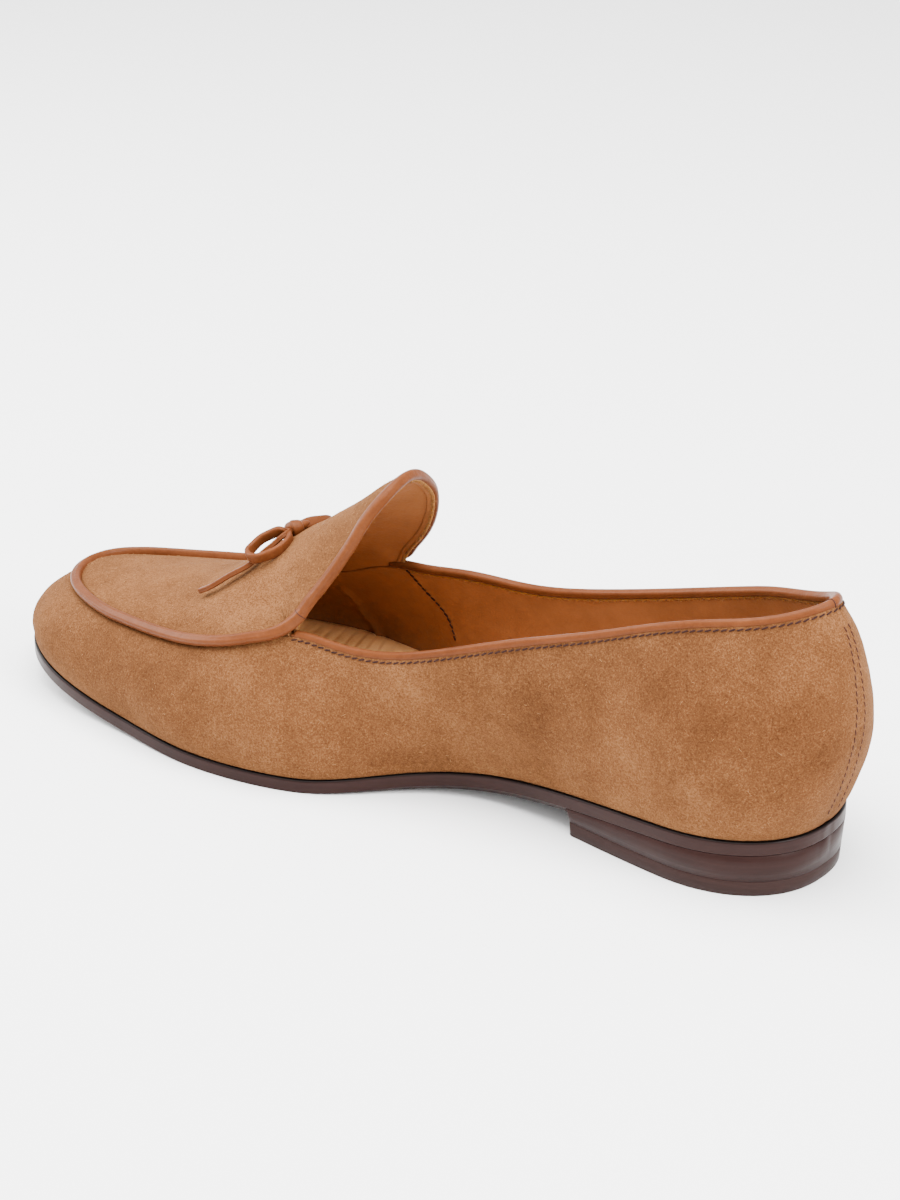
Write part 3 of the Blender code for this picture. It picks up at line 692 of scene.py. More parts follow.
def top_edge(share, side):
    """The upper's top edge on one side, as points. At the tip both sides come to one height."""
    plan, along = side_of(TOP, TOP_ENDS, share, side)
    height = smooth(TOP, "inner_height" if side == INNER else "outer_height", along)
    blend = np.clip((share - 1 + TOE_BLEND) / TOE_BLEND, 0, 1)
    middle = (smooth(TOP, "inner_height", along) + smooth(TOP, "outer_height", along)) / 2
    return np.column_stack([plan, height * (1 - blend) + middle * blend])


def wall_grid(share, rows, side):
    """One side of the wall: at each station a cubic curve from the sole's feather line to the top edge.

    Gives the points, rows by stations, and the place along of each station.
    """
    plan, along = side_of(SOLE, SOLE_ENDS, share, side, FEATHER_INSET)
    foot = np.column_stack([plan, sole_height(along) + GAP])
    head = top_edge(share, side)
    step = np.gradient(plan, axis=0)
    out = np.stack([-step[:, 1], step[:, 0]], -1) * side
    out[-1] = (1, 0)
    out = np.column_stack([out / np.linalg.norm(out, axis=1)[:, None], np.zeros(len(out))])
    up = np.array([0, 0, 1.0])
    handles = {name: smooth(SWELL, name, along)[:, None] for name in list(SWELL)[1:]}
    low = foot + out * handles["low_out"] + up * handles["low_up"]
    high = head + out * handles["high_out"] - up * handles["high_down"]
    t = rows[:, None, None]
    return foot * (1 - t) ** 3 + 3 * low * t * (1 - t) ** 2 + 3 * high * t**2 * (1 - t) + head * t**3, along


def facing(grid, ring=False):
    """The outward normals of a grid whose rows rise, and whose outer columns run from heel to toe."""
    if ring:
        padded = np.concatenate([grid[:, -1:], grid, grid[:, :1]], axis=1)
        across = np.gradient(padded, axis=1)[:, 1:-1]
    else:
        across = np.gradient(grid, axis=1)
    return unit(np.cross(across, np.gradient(grid, axis=0)))


def folds(rows, side, along, up):
    """Height of the folds of one side: each is a bell across its wavy line, and fades towards its ends."""
    total = np.zeros_like(along)
    for i in np.flatnonzero(rows["side"] == side):
        start = np.array([rows["along"][i], rows["up"][i] * FOLD_SCALE])
        run = np.array([rows["to_along"][i], rows["to_up"][i] * FOLD_SCALE]) - start
        reach = np.linalg.norm(run)
        run = run / reach
        a, b = along - start[0], up * FOLD_SCALE - start[1]
        on = (a * run[0] + b * run[1]) / reach
        off = a * run[1] - b * run[0] + 0.0015 * np.sin(on * 5 + i)
        fade = np.exp(-((np.abs(on - 0.5) / 0.55) ** 4))
        total += rows["depth"][i] * fade * bell(off, rows["width"][i])
    return total


def ripple(points, size, seed):
    """Gentle unevenness from -1 to 1: three sines of about the given size that cross at odd angles."""
    turns = np.array([[1.0, 0.4, 0.9], [-0.5, 1.0, 0.6], [0.7, -0.8, 1.0]]) * (2 * math.pi / size)
    wave = np.sin(points @ turns.T + seed * np.array([1.0, 2.3, 3.7]))
    return (wave + 0.5 * np.sin(1.9 * wave[..., ::-1] + seed)).mean(-1) / 1.2


def round_wall(stations, rows):
    """Both sides of the wall as one ring of columns, toe to heel on the inner side and back outside.

    Gives the points, rows by columns, with the side, share and place along of each column.
    """
    share = np.linspace(0, 1, stations)
    inner, along = wall_grid(share, rows, INNER)
    outer, _ = wall_grid(share, rows, OUTER)
    inner[:, -1] = (inner[:, -1] + outer[:, -1]) / 2
    grid = np.concatenate([inner[:, ::-1], outer[:, 1:-1]], axis=1)
    side = np.concatenate([np.full(stations, INNER), np.full(stations - 2, OUTER)])
    return grid, side, np.concatenate([share[::-1], share[1:-1]]), np.concatenate([along[::-1], along[1:-1]])


def past_throat(share):
    """0 up to the throat, and rising evenly to 1 over a short run ahead of it."""
    return np.clip((share - THROAT_SHARE) * SOLE_LENGTH / THROAT_RUN, 0, 1)


def seat_depth(away, share):
    """How far the suede is pulled in under the apron's binding, at a distance from the seam."""
    return GROOVE_DEPTH * past_throat(share) * np.clip(1 - away / GROOVE_HALF, 0, 1) ** 1.3


def suede_nap(name, dark, middle, light):
    """Snuff suede: a short brushed nap in fine flecks, mottled where it was stroked, paler where rubbed."""
    sheen = {"Sheen Weight": 0.07, "Sheen Roughness": 0.45, "Sheen Tint": SUEDE_SHEEN}
    nap = Finish(name, {"Roughness": 0.9, "Specular IOR Level": 0.04, **sheen})
    cloud = nap.noise(0.045, 2.0)
    stroke = nap.noise(0.012, 2.0, 0.5)
    mottle = nap.noise(0.0026, 3.0, 0.6)
    fleck = nap.noise(0.0007, 3.0, 0.7)
    fine = nap.noise(0.0004, 2.0, 0.6)
    tone = nap.blend([(cloud, 0.55), (stroke, 0.34), (mottle, 0.30), (fleck, 0.95), (fine, 1.0)])
    nap.colour(nap.ramp(tone, (0.12, dark), (0.5, middle), (0.9, light)))
    nap.relief((stroke, 0.00022), (mottle, 0.00014), (fleck, 0.00024), (fine, 0.00016))
    return nap.material


SUEDE = suede_nap("snuff_suede", SUEDE_DARK, SUEDE_MIDDLE, SUEDE_LIGHT)
LINING = lining_leather("lining_calf", LINING_DARK, LINING_LIGHT)


def suede_wall():
    """The suede's face with its folds, back seam and groove, and its flesh side behind it. Gives the face."""
    rows = np.linspace(0, 1, WALL_ROWS)
    grid, side, share, along = round_wall(WALL_STATIONS, rows)
    normal = facing(grid, ring=True)
    up = np.broadcast_to(rows[:, None], grid.shape[:2])
    places = np.broadcast_to(along, up.shape)
    inner_folds, outer_folds = (folds(WALL_FOLDS, one, places, up) for one in (INNER, OUTER))
    lift = np.where(side == INNER, inner_folds, outer_folds)
    calm = np.clip(up / 0.10, 0, 1) * np.clip((1 - up) / 0.12, 0, 1)
    lift = (lift + 0.00028 * ripple(grid, 0.034, 1.0) + 0.00010 * ripple(grid, 0.011, 5.0)) * calm
    beside = np.abs(grid[..., 1] - grid[:, [np.argmin(share)], 1])
    lift -= np.where(share < 0.1, BACK_SEAM_DEPTH * bell(beside, BACK_SEAM_HALF), 0)
    lift -= seat_depth(np.linalg.norm(grid - grid[-1:], axis=-1), share)
    outer = grid + normal * lift[..., None]
    grids = np.stack([outer, outer - normal * SUEDE_THICKNESS])
    piece("suede_quarters", grids, shell_faces(*grid.shape[:2], ring=True), SUEDE, "suede", ["upper"])
    return outer, normal


def off_line(points, line):
    """Distance of each point of a grid from a line through a few points."""
    apart = np.full(points.shape[:-1], 1.0)
    for start, run in zip(np.array(line), np.diff(line, axis=0)):
        on = np.clip((points - start) @ run / (run @ run), 0, 1)
        apart = np.minimum(apart, np.linalg.norm(points - start - on[..., None] * run, axis=-1))
    return apart


def lining_wall():
    """The lining, its face as deep as the wall is thick, slack, with a lapped seam and creases outside."""
    rows = np.linspace(0.02, 0.985, LINING_ROWS)
    grid, side, _, _ = round_wall(LINING_STATIONS, rows)
    normal = facing(grid, ring=True)
    slack = 0.00022 * ripple(grid, 0.016, 3.0)
    face = grid - normal * WALL
    seam = np.interp(face[..., 2], LINING_SEAM[::-1, 2], LINING_SEAM[::-1, 0])
    ahead = np.clip((face[..., 0] - seam) / LAP_EDGE + 0.5, 0, 1)
    slack += np.where(side == OUTER, LINING_LAP * ahead * bell(off_line(face, LINING_SEAM), LAP_REACH), 0)
    for line, wide, height in LINING_CREASES:
        slack += height * bell(off_line(face, line), wide)
    grids = np.stack([grid - normal * LINING_BACK, grid - normal * (WALL + slack)[..., None]])
    piece("quarter_lining", grids, shell_faces(*grid.shape[:2], ring=True), LINING, "sock_leather", ["upper"])


WALL_FACE, WALL_FACING = suede_wall()
lining_wall()


# The apron: the raised plug over the foot, one piece with the tongue that stands up behind the
# throat. Suede outside and lining inside, closed to the vamp under its binding.
TONGUE = chart(
    "rise along height half skew",
    (0.00, 0.1750, 0.0482, 0.0328, 0.0000),
    (0.15, 0.1722, 0.0553, 0.0305, 0.0010),
    (0.32, 0.1664, 0.0632, 0.0270, 0.0020),
    (0.50, 0.1606, 0.0722, 0.0230, 0.0025),
    (0.68, 0.1565, 0.0814, 0.0186, 0.0022),
    (0.85, 0.1545, 0.0888, 0.0148, 0.0015),
    (1.00, 0.1530, 0.0947, 0.0132, 0.0000),
)
TONGUE_ROUND_FROM = 0.72
CREST = chart(
    "place arch lean",
    (-1.00, 0.0000, 0.66),
    (-0.85, 0.0045, 0.67),
    (-0.68, 0.0089, 0.68),
    (-0.50, 0.0136, 0.68),
    (-0.32, 0.0176, 0.68),
    (-0.15, 0.0209, 0.67),
    (0.00, 0.0241, 0.66),
    (0.08, 0.0216, 0.64),
    (0.17, 0.0167, 0.58),
    (0.26, 0.0115, 0.45),
    (0.38, 0.0078, 0.30),
    (0.58, 0.0052, 0.20),
    (0.79, 0.0030, 0.15),
    (0.93, 0.0012, 0.10),
    (1.00, 0.0000, 0.10),
)
ARCH_POWER = 2.1
EDGE_EASE = 0.16
TIP_ROWS = 40
TONGUE_ROWS = 70
APRON_ROWS = 190
APRON_COLUMNS = 151
THROAT_EASE = 8.0


def tongue_edge(rise, side):
    """The tongue's free edge on one side. Its half width closes as an ellipse towards the tip."""
    rounding = np.clip((rise - TONGUE_ROUND_FROM) / (1 - TONGUE_ROUND_FROM), 0, 1)
    full = np.sqrt(1 - rounding**2)
    half = smooth(TONGUE, "half", rise) * full
    along = smooth(TONGUE, "along", rise) + side * smooth(TONGUE, "skew", rise) * full
    return np.column_stack([along - HEEL_CENTRE, side * half, smooth(TONGUE, "height", rise)])


def leaning(lean):
    """The way up, tipped towards the toe: a unit vector for each lean, which is its part along the shoe."""
    return np.column_stack([lean, np.zeros_like(lean), np.sqrt(1 - lean**2)])


def apron_grid():
    """The plug from the tongue's tip to the toe: rows across, arched over the line between the two edges.

    A bell over the rows near the throat eases the fold between tongue and apron, away from the seam.
    Gives the points, and for each row its share of the way, below the throat's for the tongue.
    """
    turn = np.linspace(0, math.pi / 2, TIP_ROWS)
    rise = 1 - (1 - TONGUE_ROUND_FROM) * (1 - np.cos(turn))
    rise = np.concatenate([rise, np.linspace(TONGUE_ROUND_FROM, 0, TONGUE_ROWS)[1:-1]])
    ahead = np.linspace(THROAT_SHARE, 1, APRON_ROWS)
    edges = [np.concatenate([tongue_edge(rise, side), top_edge(ahead, side)]) for side in (INNER, OUTER)]
    place = np.concatenate([-rise, (ahead - ahead[0]) / (1 - ahead[0])])
    arch, lean = smooth(CREST, "arch", place), smooth(CREST, "lean", place)
    normal = leaning(lean)
    middle, reach = (edges[0] + edges[1]) / 2, (edges[0] - edges[1]) / 2
    across = np.sin(np.linspace(-1, 1, APRON_COLUMNS) * math.pi / 2)
    over = arch[:, None] * (1 - np.abs(across) ** ARCH_POWER)
    grid = middle[:, None] + across[:, None] * reach[:, None] + over[..., None] * normal[:, None]
    rows = np.arange(len(grid))
    throat = len(rise)
    wide = 0.3 + THROAT_EASE * bell(rows - throat, 22)
    weight = np.exp(-0.5 * ((rows[:, None] - rows) / wide[:, None]) ** 2)
    eased = np.einsum("ij,jkc->ikc", weight / weight.sum(1, keepdims=True), grid)
    inside = np.clip((1 - np.abs(across)) / EDGE_EASE, 0, 1)[None, :, None] ** 1.5
    grid = grid * (1 - inside) + eased * inside
    return grid, np.concatenate([THROAT_SHARE - rise, ahead])


def suede_apron():
    """The apron's suede, gently uneven and pulled into the groove along its seam. Gives its outer face."""
    grid, share = apron_grid()
    normal = facing(grid)
    normal *= np.sign(normal[len(grid) // 2, APRON_COLUMNS // 2, 2])
    sides = [np.linalg.norm(grid - grid[:, [column]], axis=-1) for column in (0, -1)]
    sides = np.minimum(*sides)
    calm = np.clip(sides / 0.006, 0, 1)
    lift = (0.00025 * ripple(grid, 0.030, 2.0) + 0.00008 * ripple(grid, 0.009, 4.0)) * calm
    tip = np.linalg.norm(grid - grid[-1, 0], axis=-1)
    lift -= seat_depth(np.minimum(sides, tip), share[:, None])
    outer = grid + normal * lift[..., None]
    grids = np.stack([outer, outer - normal * SUEDE_THICKNESS])
    piece("suede_apron", grids, shell_faces(*grid.shape[:2]), SUEDE, "suede", ["upper"])
    lining = np.stack([grid - normal * LINING_BACK, grid - normal * WALL])[:, ::2, ::2]
    piece("apron_lining", lining, shell_faces(*lining.shape[1:3]), LINING, "sock_leather", ["upper"])
    return outer, normal


APRON_FACE, APRON_FACING = suede_apron()


# The bindings: strips of smooth reddish calf rolled over the raw edges and stitched down, one round
# the apron and the tongue, and one round the collar that starts and ends under the first.
BINDING_RADIUS = 0.00175
# A binding's section: half its width, its reach above and below its line, how square it is, and its valley
APRON_SECTION = (BINDING_RADIUS, 0.00155, 0.00240, 0.8, 0.00014)
COLLAR_SECTION = (0.00155, 0.00145, 0.00150, 0.85, 0.00010)
COLLAR_SINK = 0.0011
BINDING_SIDES = 36
BINDING_STEPS = 900
TONGUE_SINK = 0.0007
SWEEP = 0.0075
TIP_FROM = 0.80
VALLEY_HALF = 0.00055
COLLAR_RISE = 0.0006
COLLAR_LAP = 8
LAP_RISE = 0.14
JOINT_FAT = 0.00016
CALF_DARK, CALF_LIGHT = (0.060, 0.0150, 0.0040), (0.122, 0.0360, 0.0112)
CALF_TINT = (1.0, 0.66, 0.46, 1.0)
# The part of the apron's face on which the binding sweeps round the corners of the throat
NEAR_THROAT = np.s_[TIP_ROWS : TIP_ROWS + 150 : 2, 18:-18:2]


def rolled_calf():
    """Reddish tan calf with a soft gloss, a few pores and darker creases."""
    shine = {"Specular IOR Level": 0.09, "Specular Tint": CALF_TINT}
    calf = Finish("rolled_calf", {"Roughness": 0.44, "Coat Weight": 0.045, "Coat Roughness": 0.12, **shine})
    cloud = calf.noise(0.020, 3.0)
    pores = calf.noise(0.0006, 2.0)
    crease = calf.noise(0.0028, 3.0, 0.6)
    tone = calf.blend([(cloud, 0.6), (crease, 0.5), (pores, 0.3)])
    calf.colour(calf.ramp(tone, (0.15, CALF_DARK), (0.85, CALF_LIGHT)))
    calf.relief((pores, 0.00006), (crease, 0.00020))
    return calf.material


BINDING = rolled_calf()


def carried(points, out, profile, closed=False):
    """A profile carried along points. Its first number goes beside the line, and its second out of it."""
    run = np.roll(points, -1, axis=0) - np.roll(points, 1, axis=0) if closed else np.gradient(points, axis=0)
    beside = unit(np.cross(run, out))
    top = unit(np.cross(beside, run))
    return points[:, None] + beside[:, None] * profile[..., :1] + top[:, None] * profile[..., 1:]


def tube_faces(rows, count, closed=False, start=0):
    """Faces of a carried profile: rings in a row, either closed on themselves or ended with lids."""
    faces = ring_faces(rows, count)
    last = (rows - 1) * count
    if closed:
        j = np.arange(count)
        k = (j + 1) % count
        return (np.concatenate([faces, np.stack([last + j, last + k, k, j], -1)]) + start).tolist()
    return (faces + start).tolist() + [list(range(at, at + count)) for at in (start, start + last)]


def turns(count):
    """Even angles once round."""
    return np.linspace(0, 2 * math.pi, count, endpoint=False)


def squared(values, power):
    """Values from -1 to 1 raised to a power with their sign kept, which squares a round section."""
    return np.sign(values) * np.abs(values) ** power


def binding_profile(half, top, leg, square, valley):
    """A strip rolled over an edge, in section: a superellipse with a faint valley on top."""
    turn = turns(BINDING_SIDES)
    above = np.sin(turn) > 0
    wide = half * squared(np.cos(turn), square)
    tall = np.where(above, top, leg) * squared(np.sin(turn), square)
    return np.stack([wide, tall - valley * bell(wide, VALLEY_HALF) * above], -1)


def rolled(name, points, out, node, section, thick, closed=False):
    """A rolled strip of binding along points, its top facing out, with a factor of thickness at each."""
    grid = carried(points, out, binding_profile(*section) * thick[:, None, None], closed)
    return piece(name, grid, tube_faces(*grid.shape[:2], closed), BINDING, "binding_leather", [node])


def seam_line(count):
    """The apron's seam on each side, from the throat to the toe, with the way out of its groove."""
    ahead = np.linspace(THROAT_SHARE, 1, count)
    lines = {}
    for side in (INNER, OUTER):
        walls, _ = wall_grid(ahead, np.array([0.93, 1.0]), side)
        seam = walls[-1]
        down = unit(walls[0] - seam)
        place = (ahead - ahead[0]) / (1 - ahead[0])
        arch = leaning(smooth(CREST, "lean", place)) * smooth(CREST, "arch", place)[:, None]
        inward = -side * np.array([0, 1.0, 0]) * 0.0030
        over = unit(inward + arch * 0.18)
        run = unit(np.gradient(seam, axis=0))
        normal = unit(np.cross(run, down) + np.cross(over, run)) * side
        tip = unit(np.array([0.6, 0, 0.8]))
        near_tip = np.clip((place - 0.9) / 0.1, 0, 1)[:, None]
        lines[side] = seam, unit(normal * (1 - near_tip) + tip * near_tip), ahead
    return lines


def tongue_rim(count):
    """The tongue's rim on each side from its tip to the throat, the way off it and the way out of its suede.

    The way off the edge leads from a point further in on the arched tongue, which closes on the middle
    of the tongue towards the tip, so that both sides agree there.
    """
    turn = np.linspace(0, math.pi / 2, count // 2)
    rise = 1 - (1 - TONGUE_ROUND_FROM) * (1 - np.cos(turn))
    rise = np.concatenate([rise, np.linspace(TONGUE_ROUND_FROM, 0, count // 2 + 1)[1:-1]])
    low = np.minimum(rise, TIP_FROM)
    spread = 0.7 * np.sqrt(np.clip(1 - ((rise - low) / (1 - TIP_FROM)) ** 2, 0, 1))
    arch, lean = smooth(CREST, "arch", -low), smooth(CREST, "lean", -low)
    raised = leaning(lean) * (arch * (1 - spread**ARCH_POWER))[:, None]
    below = {side: tongue_edge(low, side) for side in (INNER, OUTER)}
    middle = (below[INNER] + below[OUTER]) / 2
    rims = {}
    for side in (INNER, OUTER):
        rim = tongue_edge(rise, side)
        away = rim - middle - spread[:, None] * (below[side] - middle) - raised
        run = unit(np.gradient(rim, axis=0))
        run[0] = (0, side, 0)
        off = unit(away - (away * run).sum(1)[:, None] * run)
        face = unit(np.cross(run, off))
        rims[side] = rim, off, face * np.sign(face @ (0.7, 0, 0.7))[:, None]
    return rims


TONGUE_RIMS = tongue_rim(120)
SEAM_LINES = seam_line(220)


def travelled(points):
    """Length along a row of points up to each of them."""
    return np.concatenate([[0], np.cumsum(np.linalg.norm(np.diff(points[:, :3], axis=0), axis=1))])


def apron_route():
    """Middle of the binding round the apron and the way its top faces, on the tongue's rim and the seam.

    The line is read at even steps and smoothed along its length by a bell, which is wide at the throat,
    where the binding sweeps round the corner. There it is lifted to lie on the suede.
    """
    sides = []
    for side in (INNER, OUTER):
        rim, off, face = TONGUE_RIMS[side]
        seam, normal, ahead = SEAM_LINES[side]
        on_rim = rim + off * BINDING_RADIUS - face * TONGUE_SINK
        in_groove = seam + normal * (BINDING_RADIUS + 2 * GAP - past_throat(ahead) * GROOVE_SEAT)[:, None]
        sides.append(np.column_stack([np.concatenate([on_rim, in_groove]), np.concatenate([off, normal])]))
    line = np.concatenate([sides[0], sides[1][-2:0:-1]])
    ring = np.concatenate([line, line[:1]])
    far = travelled(ring)
    even = np.linspace(0, far[-1], BINDING_STEPS, endpoint=False)
    line = np.column_stack([np.interp(even, far, column) for column in ring.T])
    throats = np.stack([SEAM_LINES[side][0][0] for side in (INNER, OUTER)])
    corner = np.linalg.norm(line[:, None, :3] - throats, axis=2).min(1)
    wide = 0.0007 + SWEEP * bell(corner, 0.014)
    apart = np.abs(even[:, None] - even)
    weight = np.exp(-0.5 * (np.minimum(apart, far[-1] - apart) / wide[:, None]) ** 2)
    line = weight @ line / weight.sum(1, keepdims=True)
    points, out = line[:, :3], unit(line[:, 3:])
    near = np.flatnonzero(corner < 0.022)
    patch, rising = (grid[NEAR_THROAT].reshape(-1, 3) for grid in (APRON_FACE, APRON_FACING))
    apart = np.linalg.norm(points[near, None] - patch, axis=2)
    nearest = apart.argmin(1)
    height = ((points[near] - patch[nearest]) * rising[nearest]).sum(1)
    beside = np.sqrt(np.maximum(apart.min(1) ** 2 - height**2, 0))
    lift = np.clip(0.0007 - height, 0, 0.002) * np.clip(2 - beside / 0.0012, 0, 1)
    points[near] += rising[nearest] * lift[:, None]
    return points, out


APRON_LINE, APRON_OUT = apron_route()


def overlap(points, start, toward):
    """Thickness of a strip laid over its own beginning: a small step at start that eases off beyond it."""
    way = unit(toward - start)
    past = (points - start) @ way
    near = np.exp(-((np.linalg.norm(points - start - way * 0.004, axis=1) / 0.009) ** 4))
    return 1 + LAP_RISE * near * np.clip(0.5 + past / 0.0007, 0, 1)


JOINT, BELOW_JOINT = (TONGUE_RIMS[INNER][0][i] for i in (-14, -4))
APRON_LAP = overlap(APRON_LINE, JOINT, BELOW_JOINT)
rolled("apron_roll", APRON_LINE, APRON_OUT, "apron_binding", APRON_SECTION, APRON_LAP, closed=True)


def collar_edge(side, share):
    """The collar's rim on one side: its points, and the ways along it, down the wall and out of the suede."""
    walls, _ = wall_grid(share, np.array([0.94, 1.0]), side)
    rim = walls[1]
    run = unit(np.gradient(rim, axis=0))
    down = unit(walls[0] - rim)
    return rim, run, down, unit(np.cross(run, down)) * side


def collar_route(count=420):
    """Middle of the collar's binding, and the way its top faces. It stops at the apron's binding."""
    share = np.linspace(0, THROAT_SHARE, count)
    sides = []
    for side in (INNER, OUTER):
        rim, _, down, face = collar_edge(side, share)
        sides.append((rim - down * COLLAR_RISE - face * COLLAR_SINK, -down))
    points = np.concatenate([sides[0][0][::-1], sides[1][0][1:]])
    out = np.concatenate([sides[0][1][::-1], sides[1][1][1:]])
    apart = np.linalg.norm(points[:, None] - APRON_LINE[None], axis=2).min(1)
    kept = np.flatnonzero(apart > 1.3 * BINDING_RADIUS)
    return points[kept[0] : kept[-1] + 1], out[kept[0] : kept[-1] + 1]


COLLAR_LINE, COLLAR_OUT = collar_route()
BACK = len(COLLAR_LINE) // 2


def joint(name, points, out, section, at):
    """The cut end of a strip that laps over its own beginning: a thin dark line round the binding."""
    ring = carried(points[at - 2 : at + 3], out[at - 2 : at + 3], binding_profile(*section) * 1.07)[2]
    round_section = JOINT_FAT * np.stack([np.cos(turns(8)), np.sin(turns(8))], -1)
    line = carried(ring, unit(ring - points[at]), round_section, closed=True)
    piece(name, line, tube_faces(*line.shape[:2], closed=True), INKED_EDGE, "binding_leather")


AT_JOINT = np.linalg.norm(APRON_LINE - JOINT, axis=1).argmin()
joint("apron_joint", APRON_LINE, APRON_OUT, APRON_SECTION, AT_JOINT)
joint("collar_joint", COLLAR_LINE, COLLAR_OUT, COLLAR_SECTION, BACK - COLLAR_LAP)
COLLAR_THICK = overlap(COLLAR_LINE, COLLAR_LINE[BACK - COLLAR_LAP], COLLAR_LINE[BACK + COLLAR_LAP])
rolled("collar_roll", COLLAR_LINE, COLLAR_OUT, "collar_binding", COLLAR_SECTION, COLLAR_THICK)


# The stitching: dark brown thread in short slanted stitches, close under the bindings where they are
# sewn to the suede, and up the back seam.
STITCH_PITCH = 0.0024
STITCH_HALF = 0.00105
STITCH_FAT = 0.00028
STITCH_SLANT = math.radians(14)
STITCH_BELOW, STITCH_PROUD = 0.00145, 0.00024
SEAM_COLUMNS = 3
THREAD_DARK, THREAD_LIGHT = (0.012, 0.005, 0.005), (0.035, 0.014, 0.010)
# A spindle's rings: their place along it, and how fat it is there
SPINDLE = ((-1, 0.35), (-0.6, 1), (0.6, 1), (1, 0.35))
THREAD_SIDES, HAIR_SIDES = 6, 3


def brown_thread():
    """Dull waxed thread."""
    thread = Finish("brown_thread", {"Roughness": 0.7, "Specular IOR Level": 0.06})
    strands = thread.noise(0.0004, 2.0)
    thread.colour(thread.ramp(strands, (0.3, THREAD_DARK), (0.7, THREAD_LIGHT)))
    return thread.material


THREAD = brown_thread()


def spindles(name, centres, long, wide, tall, finish, slot, sides=THREAD_SIDES):
    """Many short spindles in one mesh, fat in the middle, each at a centre with three half axes."""
    around = turns(sides)
    shape = np.array([[x, fat * math.cos(a), fat * math.sin(a)] for x, fat in SPINDLE for a in around])
    grid = centres[:, None] + sum(shape[:, [i]] * axis[:, None] for i, axis in enumerate((long, wide, tall)))
    faces = tube_faces(len(SPINDLE), sides)
    shift = (np.arange(len(centres)) * len(shape))[:, None, None]
    quads, lids = ((np.array(some) + shift).reshape(-1, len(some[0])) for some in (faces[:-2], faces[-2:]))
    piece(name, grid, quads.tolist() + lids.tolist(), finish, slot)


def evenly(line, pitch):
    """The rows of a line of points and directions, read at even steps along its length."""
    far = travelled(line)
    at = np.arange(pitch / 2, far[-1], pitch)
    return np.column_stack([np.interp(at, far, column) for column in line.T])


def stitches(name, line):
    """A row of stitches along a line that gives points, the way along, the way across and the way out."""
    line = evenly(line, STITCH_PITCH)
    where, run, across, out = (line[:, i : i + 3] for i in (0, 3, 6, 9))
    long = unit(run * math.cos(STITCH_SLANT) + across * math.sin(STITCH_SLANT))
    wide, tall = unit(np.cross(out, long)) * STITCH_FAT, unit(out) * STITCH_FAT
    spindles(name, where, long * STITCH_HALF, wide, tall, THREAD, "binding_leather")


def collar_stitches():
    """The row under the collar's binding, all round."""
    share = np.linspace(0, THROAT_SHARE * 0.995, 700)
    rows = []
    for side in (INNER, OUTER):
        rim, run, down, face = collar_edge(side, share)
        row = rim + down * STITCH_BELOW + face * STITCH_PROUD
        rows.append(np.column_stack([row, run, down * side, face]))
    stitches("collar_stitches", np.concatenate([rows[0][::-1], rows[1][1:]]))


collar_stitches()


def back_stitches():
    """A row up each side of the back seam."""
    back = WALL_STATIONS - 1
    for name, beside in (("back_stitches_inner", -SEAM_COLUMNS), ("back_stitches_outer", SEAM_COLUMNS)):
        line, out = WALL_FACE[4:-4, back + beside], WALL_FACING[4:-4, back + beside]
        run = unit(np.gradient(line, axis=0))
        stitches(name, np.column_stack([line - out * 0.0001, run, np.cross(out, run), out]))


back_stitches()


def curve_through(points, count):
    """The smooth curve through a few points, read at even steps of the way along them, and those steps."""
    rows = dict(far=travelled(points), x=points[:, 0], y=points[:, 1], z=points[:, 2])
    places = np.linspace(0, rows["far"][-1], count)
    return np.column_stack([smooth(rows, axis, places) for axis in "xyz"]), places


def seam_stitches():
    """The row down the lining's seam, a little ahead of its lap."""
    where, _ = curve_through(LINING_SEAM + (LAP_EDGE, 0, 0), 200)
    share = np.linspace(0.2, THROAT_SHARE, 160)
    walls, _ = wall_grid(share, np.linspace(0.2, 1, 90), OUTER)
    inward = -facing(walls)
    face = (walls + inward * WALL).reshape(-1, 3)
    nearest = np.linalg.norm(where[:, None] - face, axis=2).argmin(1)
    out = inward.reshape(-1, 3)[nearest]
    where = where + out * ((face[nearest] - where) * out).sum(1)[:, None] + out * 0.0006
    run = unit(np.gradient(where, axis=0))
    stitches("lining_stitches", np.column_stack([where, run, np.cross(out, run), out]))


seam_stitches()


# Loose fibres: a few pale ends of nap that have come up on the suede and lie on it.
FIBRES = 420
FIBRE_FAT = 0.00005
FIBRE_PALE = (0.28, 0.140, 0.058, 1.0)


def loose_fibres():
    """Short pale spindles strewn over the quarters and the apron, each lying on the nap at an odd angle."""
    hair = Finish("loose_fibre", {"Roughness": 0.9, "Specular IOR Level": 0.05, "Base Color": FIBRE_PALE})
    chance = np.random.default_rng(9)
    faces, facings = (
        np.concatenate([wall[4:-4].reshape(-1, 3), apron[20:-8, 14:-14].reshape(-1, 3)])
        for wall, apron in ((WALL_FACE, APRON_FACE), (WALL_FACING, APRON_FACING))
    )
    at = chance.integers(0, len(faces), FIBRES)
    out = facings[at]
    across = unit(np.cross(out, chance.normal(size=(FIBRES, 3))))
    long = unit(across + out * 0.15)
    half = chance.uniform(0.00025, 0.00080, (FIBRES, 1))
    wide = unit(np.cross(out, long))
    tall = unit(np.cross(long, wide)) * FIBRE_FAT
    where = faces[at] + out * 0.0001
    wide = wide * FIBRE_FAT
    spindles("loose_fibres", where, long * half, wide, tall, hair.material, "suede", HAIR_SIDES)


loose_fibres()


# The raw edges inside: where the lining is trimmed off beside the bindings its edge is left raw, a
# little ragged and furred, and paler than its face.
EDGE_HAIRS = 1400
HAIR_FAT = 0.000045
LIP_HALVES = (0.0013, 0.00035)
HIDE_DARK, HIDE_LIGHT = (0.17, 0.070, 0.014), (0.38, 0.170, 0.040)


